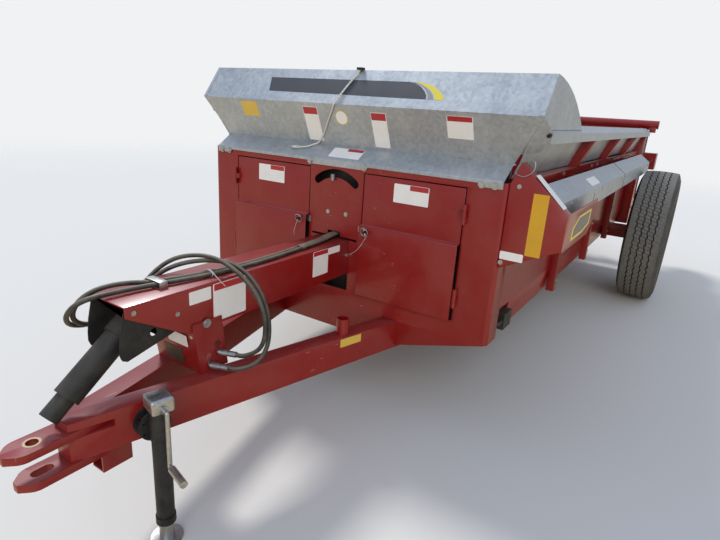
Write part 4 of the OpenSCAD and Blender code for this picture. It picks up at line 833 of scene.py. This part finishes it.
# A band narrower than its label lies at the label's right, a wide one in the middle
def makeLabels():
    white, red = bmesh.new(), bmesh.new()
    makeRoundLabel(white)
    for face, place, width, height, bandWidth, bandHeight in labels:
        pushOut(white, at(*place), *faces[face], roundedOutline(width, height, labelSizes["corner"]),
                labelSizes["sheet"])
        if bandWidth:
            across, upward = (Vector(v) for v in faces[face])
            aside = 0
            if bandWidth < labelSizes["wholeWidth"]:
                aside = 0.5 * width * (1 - bandWidth) - labelSizes["bandMargin"]
            centre = at(*place) + across * aside + upward * height * (labelSizes["bandTop"] - bandHeight / 2)
            pushOut(red, centre, across, upward,
                    roundedOutline(width * bandWidth, height * bandHeight, labelSizes["bandCorner"]),
                    labelSizes["band"], labelSizes["sheet"])
    newPiece("labelPlates", white, "labelWhite")
    newPiece("labelBands", red, "labelRed")
    for slot, rows in strips.items():
        work = bmesh.new()
        for face, place, width, height in rows:
            pushOut(work, at(*place), *faces[face], roundedOutline(width, height, labelSizes["bandCorner"]),
                    labelSizes["sheet"])
        newPiece(slot + "Plates", work, slot)


# Stripe with a swept end on the panel's upper face, and the bordered field on the guard's side: for each
# piece its finish, then face, start, thickness and lift of each outline. The stripe's outlines are
# (across, up) from the fold's middle, the guard's (back, up) from its front edge
guardEdge = (0, 1.021, 0.990)
decals = {
    "decalFields": ("decalDark", [
        ("panelUpper", panelFold, 0.0006, 0.0,
         [(-0.449, 0.054), (0.402, 0.047), (0.397, 0.066), (0.382, 0.086), (0.358, 0.107), (0.330, 0.121),
          (0.296, 0.129), (-0.474, 0.1325)]),
        ("left", guardEdge, 0.0005, 0.0006,
         [(0.150, -0.025), (0.325, -0.024), (0.445, -0.008), (0.455, 0.041), (0.245, 0.041),
          (0.156, 0.007)])]),
    "decalSweep": ("decalGrey", [
        ("panelUpper", panelFold, 0.0006, 0.0,
         [(0.409, 0.047), (0.434, 0.048), (0.428, 0.064), (0.412, 0.083), (0.386, 0.102), (0.350, 0.119),
          (0.316, 0.1285), (0.306, 0.129), (0.338, 0.121), (0.366, 0.107), (0.390, 0.086),
          (0.405, 0.066)])]),
    "decalLines": ("decalYellow", [
        ("panelUpper", panelFold, 0.0006, 0.0,
         [(0.439, 0.048), (0.478, 0.0465), (0.473, 0.063), (0.455, 0.083), (0.428, 0.103), (0.390, 0.120),
          (0.352, 0.1275), (0.322, 0.1285), (0.356, 0.119), (0.392, 0.102), (0.418, 0.083),
          (0.434, 0.064)]),
        ("left", guardEdge, 0.0006, 0.0,
         [(0.128, -0.036), (0.330, -0.034), (0.470, -0.015), (0.480, 0.049), (0.235, 0.049),
          (0.135, 0.012)])]),
}


def makeDecals():
    for name, (slot, rows) in decals.items():
        work = bmesh.new()
        for face, start, sheet, lift, outline in rows:
            pushOut(work, at(*start), *faces[face], outline, sheet, lift)
        newPiece(name, work, slot)


makeLabels()
makeDecals()
print("labels placed")

# Door latches: a tab behind the door, a stud through it and a ring pin on a wire. Studs and pins are
# placed forward of the shield; each wire hangs to a place of its own
latches = {"latchRight": {"y": -0.184, "z": 0.868, "side": -1, "hangs": (0.027, -0.217, 0.775)},
           "latchLeft": {"y": 0.195, "z": 0.866, "side": 1, "hangs": (0.014, 0.104, 0.737)}}
latchSizes = {"tabFrom": 0.138, "tabPast": 0.016, "tabHeight": 0.03, "tabCorner": 0.005, "tabSheet": 0.004,
              "tabEdge": 0.0006, "stud": 0.006, "studEnds": (0.002, 0.024, 0.050), "pin": 0.0032,
              "pinAt": 0.038, "pinSlant": 0.35, "pinAbove": 0.020, "pinBelow": 0.017, "ring": 0.019,
              "ringLean": (0.004, 0.007), "ringWire": 0.0017, "wire": 0.0009,
              "wireTop": (-0.002, 0.012, -0.017), "wireSag": (0.006, 0.006, -0.012)}


def makeLatches():
    size = latchSizes
    for name, latch in latches.items():
        y, z, side = latch["y"], latch["z"], latch["side"]
        tab = bmesh.new()
        pushOut(tab, at(0, (y + side * size["tabPast"] + side * size["tabFrom"]) / 2, z), *faces["front"],
                roundedOutline(abs(y) + size["tabPast"] - size["tabFrom"], size["tabHeight"],
                               size["tabCorner"]), size["tabSheet"])
        roundEdges(tab, size["tabEdge"], size["tabSheet"])
        newPiece(name + "Tab", tab, "zinc", sharp=32)
        drop = Vector((0, side * size["pinSlant"], -1)).normalized()
        cross = at(size["pinAt"], y, z)
        offset, lean = size["ringLean"]
        ring = [cross + Vector((offset + lean * math.cos(a), size["ring"] * math.sin(a),
                                size["ring"] * math.cos(a))) for a in turns(28)]
        end = at(*latch["hangs"])
        wireTop, sag = (Vector((u, side * v, w)) for u, v, w in (size["wireTop"], size["wireSag"]))
        top = cross + wireTop
        middle = (top + end) / 2 + sag
        for part, points, radius, slot, sides in (
                ("Stud", [at(x, y, z) for x in size["studEnds"]], size["stud"], "dark_steel", 14),
                ("Pin", [cross - drop * size["pinAbove"], cross, cross + drop * size["pinBelow"]],
                 size["pin"], "zinc", 12),
                ("Ring", ring, size["ringWire"], "zinc", 8),
                ("Wire", smoothLine([top, middle, end]), size["wire"], "rope", 6)):
            swept(name + part, points, radius, slot, sides, closed=part == "Ring")


makeLatches()
print("latches made")

# Small lines: the guard's safety wire, the hoses' tie with its tail, the speed lever's end and spring,
# each as (name, points in millimetres, radius, slot, closed)
smallLines = [
    ("guardWire", [(4, 813, 1201), (5, 824, 1192), (6, 847, 1189), (6, 870, 1201), (5, 881, 1220),
                   (4, 880, 1242), (3, 866, 1250)], 0.0016, "zinc", False),
    ("tieTail", [(777, 22, 821), (786, 50, 830), (795, 82, 826), (792, 93, 814), (775, 93, 795),
                 (754, 92.5, 772)], 0.0017, "wheel_paint", False),
    ("tieLoop", [(776, 33.5 + 23 * math.cos(a), 810.5 + 11 * math.sin(a)) for a in turns(20)],
     0.0016, "wheel_paint", True),
    ("leverEnd", [(-46, -12, 1066), (-14, -12, 1070), (2, -12, 1072), (9, -12, 1076), (10, -12, 1083),
                  (10, -12, 1093)], 0.004, "zinc", False),
    ("leverSpring", [(10 + 8.5 * math.cos(k * 0.6), -12 + 8.5 * math.sin(k * 0.6), 1068 + k * 0.44)
                     for k in range(64)], 0.0021, "zinc", False)]


def makeSmallLines():
    for name, points, radius, slot, closed in smallLines:
        path = millimetres(points)
        swept(name, path if closed else smoothLine(path), radius, slot, 8, closed)


makeSmallLines()

# Bare ring worn round the upper plate's pin hole
pinWear = {"place": (1.379, 0, 0.449), "inner": 0.0167, "outer": 0.0235, "below": -0.0012, "above": 0.0005}


def makeWornRing():
    work = bmesh.new()
    middle = at(*pinWear["place"])
    inner, outer, below, above = (pinWear[k] for k in ("inner", "outer", "below", "above"))
    loops = [[work.verts.new(middle + Vector((radius * math.cos(a), radius * math.sin(a), height)))
              for a in turns(40)]
             for radius, height in ((inner, below), (inner, above), (outer, above), (outer, below))]
    joinLoops(work, loops + loops[:1])
    bmesh.ops.recalc_face_normals(work, faces=work.faces)
    newPiece("pinHoleWear", work, "wornSteel", sharp=40)


makeWornRing()

# Dark sleeve round both hoses where they enter the shield
sleeveSizes = {"wide": 0.0225, "high": 0.0112, "from": 0.292, "to": -0.006, "steps": 26, "sides": 20,
               "swell": 0.03, "swellStep": 1.9, "near": (-0.02, 0.33)}


def makeSleeve():
    work = bmesh.new()
    first, last = sleeveSizes["near"]
    both = [[p for p in smoothLine(millimetres(route)) if first < p.x - shieldX < last]
            for route in hoseRoutes.values()]
    rows = []
    for k in range(sleeveSizes["steps"] + 1):
        x = sleeveSizes["from"] + (sleeveSizes["to"] - sleeveSizes["from"]) * k / sleeveSizes["steps"]
        nearest = [min(line, key=lambda p: abs(p.x - shieldX - x)) for line in both]
        centre = (nearest[0] + nearest[1]) / 2
        swell = 1 + sleeveSizes["swell"] * math.sin(k * sleeveSizes["swellStep"])
        rows.append([work.verts.new((x + shieldX, centre.y + sleeveSizes["wide"] * swell * math.cos(a),
                                     centre.z + sleeveSizes["high"] * swell * math.sin(a)))
                     for a in turns(sleeveSizes["sides"])])
    joinLoops(work, rows)
    work.faces.new(rows[0])
    work.faces.new(rows[-1][::-1])
    bmesh.ops.recalc_face_normals(work, faces=work.faces)
    newPiece("hoseSleeve", work, "hose_rubber", sharp=50)


makeSleeve()
print("small pieces made")


# Stage and light: a pale floor that fades into the backdrop, a soft sun behind the machine and an even sky
stageTones = {"floorSeen": "e0dcd3", "floorAround": "d5c3a5", "skyLow": "c9c6bf", "skyHigh": "bacae6",
              "backdrop": "f1f2f3", "skyStrength": 0.95, "fadeFrom": 6.5, "fadeTo": 17.0}
sun = {"from": (-0.30, -0.62, 0.86), "strength": 1.9, "angle": 10}
fill = {"from": (0.80, 0.48, 0.36), "strength": 0.85, "angle": 45}


def makeFloor():
    ground = bpy.data.meshes.new("studioFloor")
    ground.from_pydata([(-60, -60, 0), (60, -60, 0), (60, 60, 0), (-60, 60, 0)], [], [(0, 1, 2, 3)])
    floor = added("studioFloor", ground)
    finish, tree = newFinish("studioFloorPaint", specular=0.1)
    shader = tree.nodes["Principled BSDF"]
    seen = put(tree, "ShaderNodeLightPath").outputs["Is Camera Ray"]
    tone = blendColours(tree, seen, colour(stageTones["floorAround"]), colour(stageTones["floorSeen"]))
    tree.links.new(tone, shader.inputs["Base Color"])
    shader.inputs["Roughness"].default_value = 0.9
    away = put(tree, "ShaderNodeVectorMath", {0: objectPlace(tree)}, operation="LENGTH").outputs["Value"]
    fade = put(tree, "ShaderNodeMapRange",
               {"Value": away, "From Min": stageTones["fadeFrom"], "From Max": stageTones["fadeTo"]},
               interpolation_type="SMOOTHSTEP")
    clear = put(tree, "ShaderNodeBsdfTransparent").outputs[0]
    mixed = put(tree, "ShaderNodeMixShader", {"Fac": fade.outputs["Result"], 1: shader.outputs[0], 2: clear})
    tree.links.new(mixed.outputs[0], tree.nodes["Material Output"].inputs["Surface"])
    ground.materials.append(finish)


def makeSky():
    world = bpy.data.worlds.new("studioSky")
    bpy.context.scene.world = world
    world.use_nodes = True
    tree = world.node_tree
    path = put(tree, "ShaderNodeLightPath")
    seen = maths(tree, "MAXIMUM", path.outputs["Is Camera Ray"], path.outputs["Is Transmission Ray"])
    direction = put(tree, "ShaderNodeTexCoord").outputs["Generated"]
    height = put(tree, "ShaderNodeSeparateXYZ", {0: direction}).outputs["Z"]
    around = blendColours(tree, spread(tree, height, 0.02, 0.6), colour(stageTones["skyLow"]),
                          colour(stageTones["skyHigh"]))
    shade = tree.nodes["Background"].inputs
    tree.links.new(blendColours(tree, seen, around, colour(stageTones["backdrop"])), shade["Color"])
    tree.links.new(spread(tree, seen, 0.0, 1.0, stageTones["skyStrength"], 1.0), shade["Strength"])


def makeSun(name, values):
    lamp = bpy.data.lights.new(name, "SUN")
    lamp.energy = values["strength"]
    lamp.angle = math.radians(values["angle"])
    holder = added(name, lamp)
    holder.matrix_world = (-Vector(values["from"])).to_track_quat("-Z", "Y").to_matrix().to_4x4()


makeFloor()
makeSky()
makeSun("softSun", sun)
makeSun("softFill", fill)
bpy.context.scene.view_settings.view_transform = "Standard"
print("studio lit")
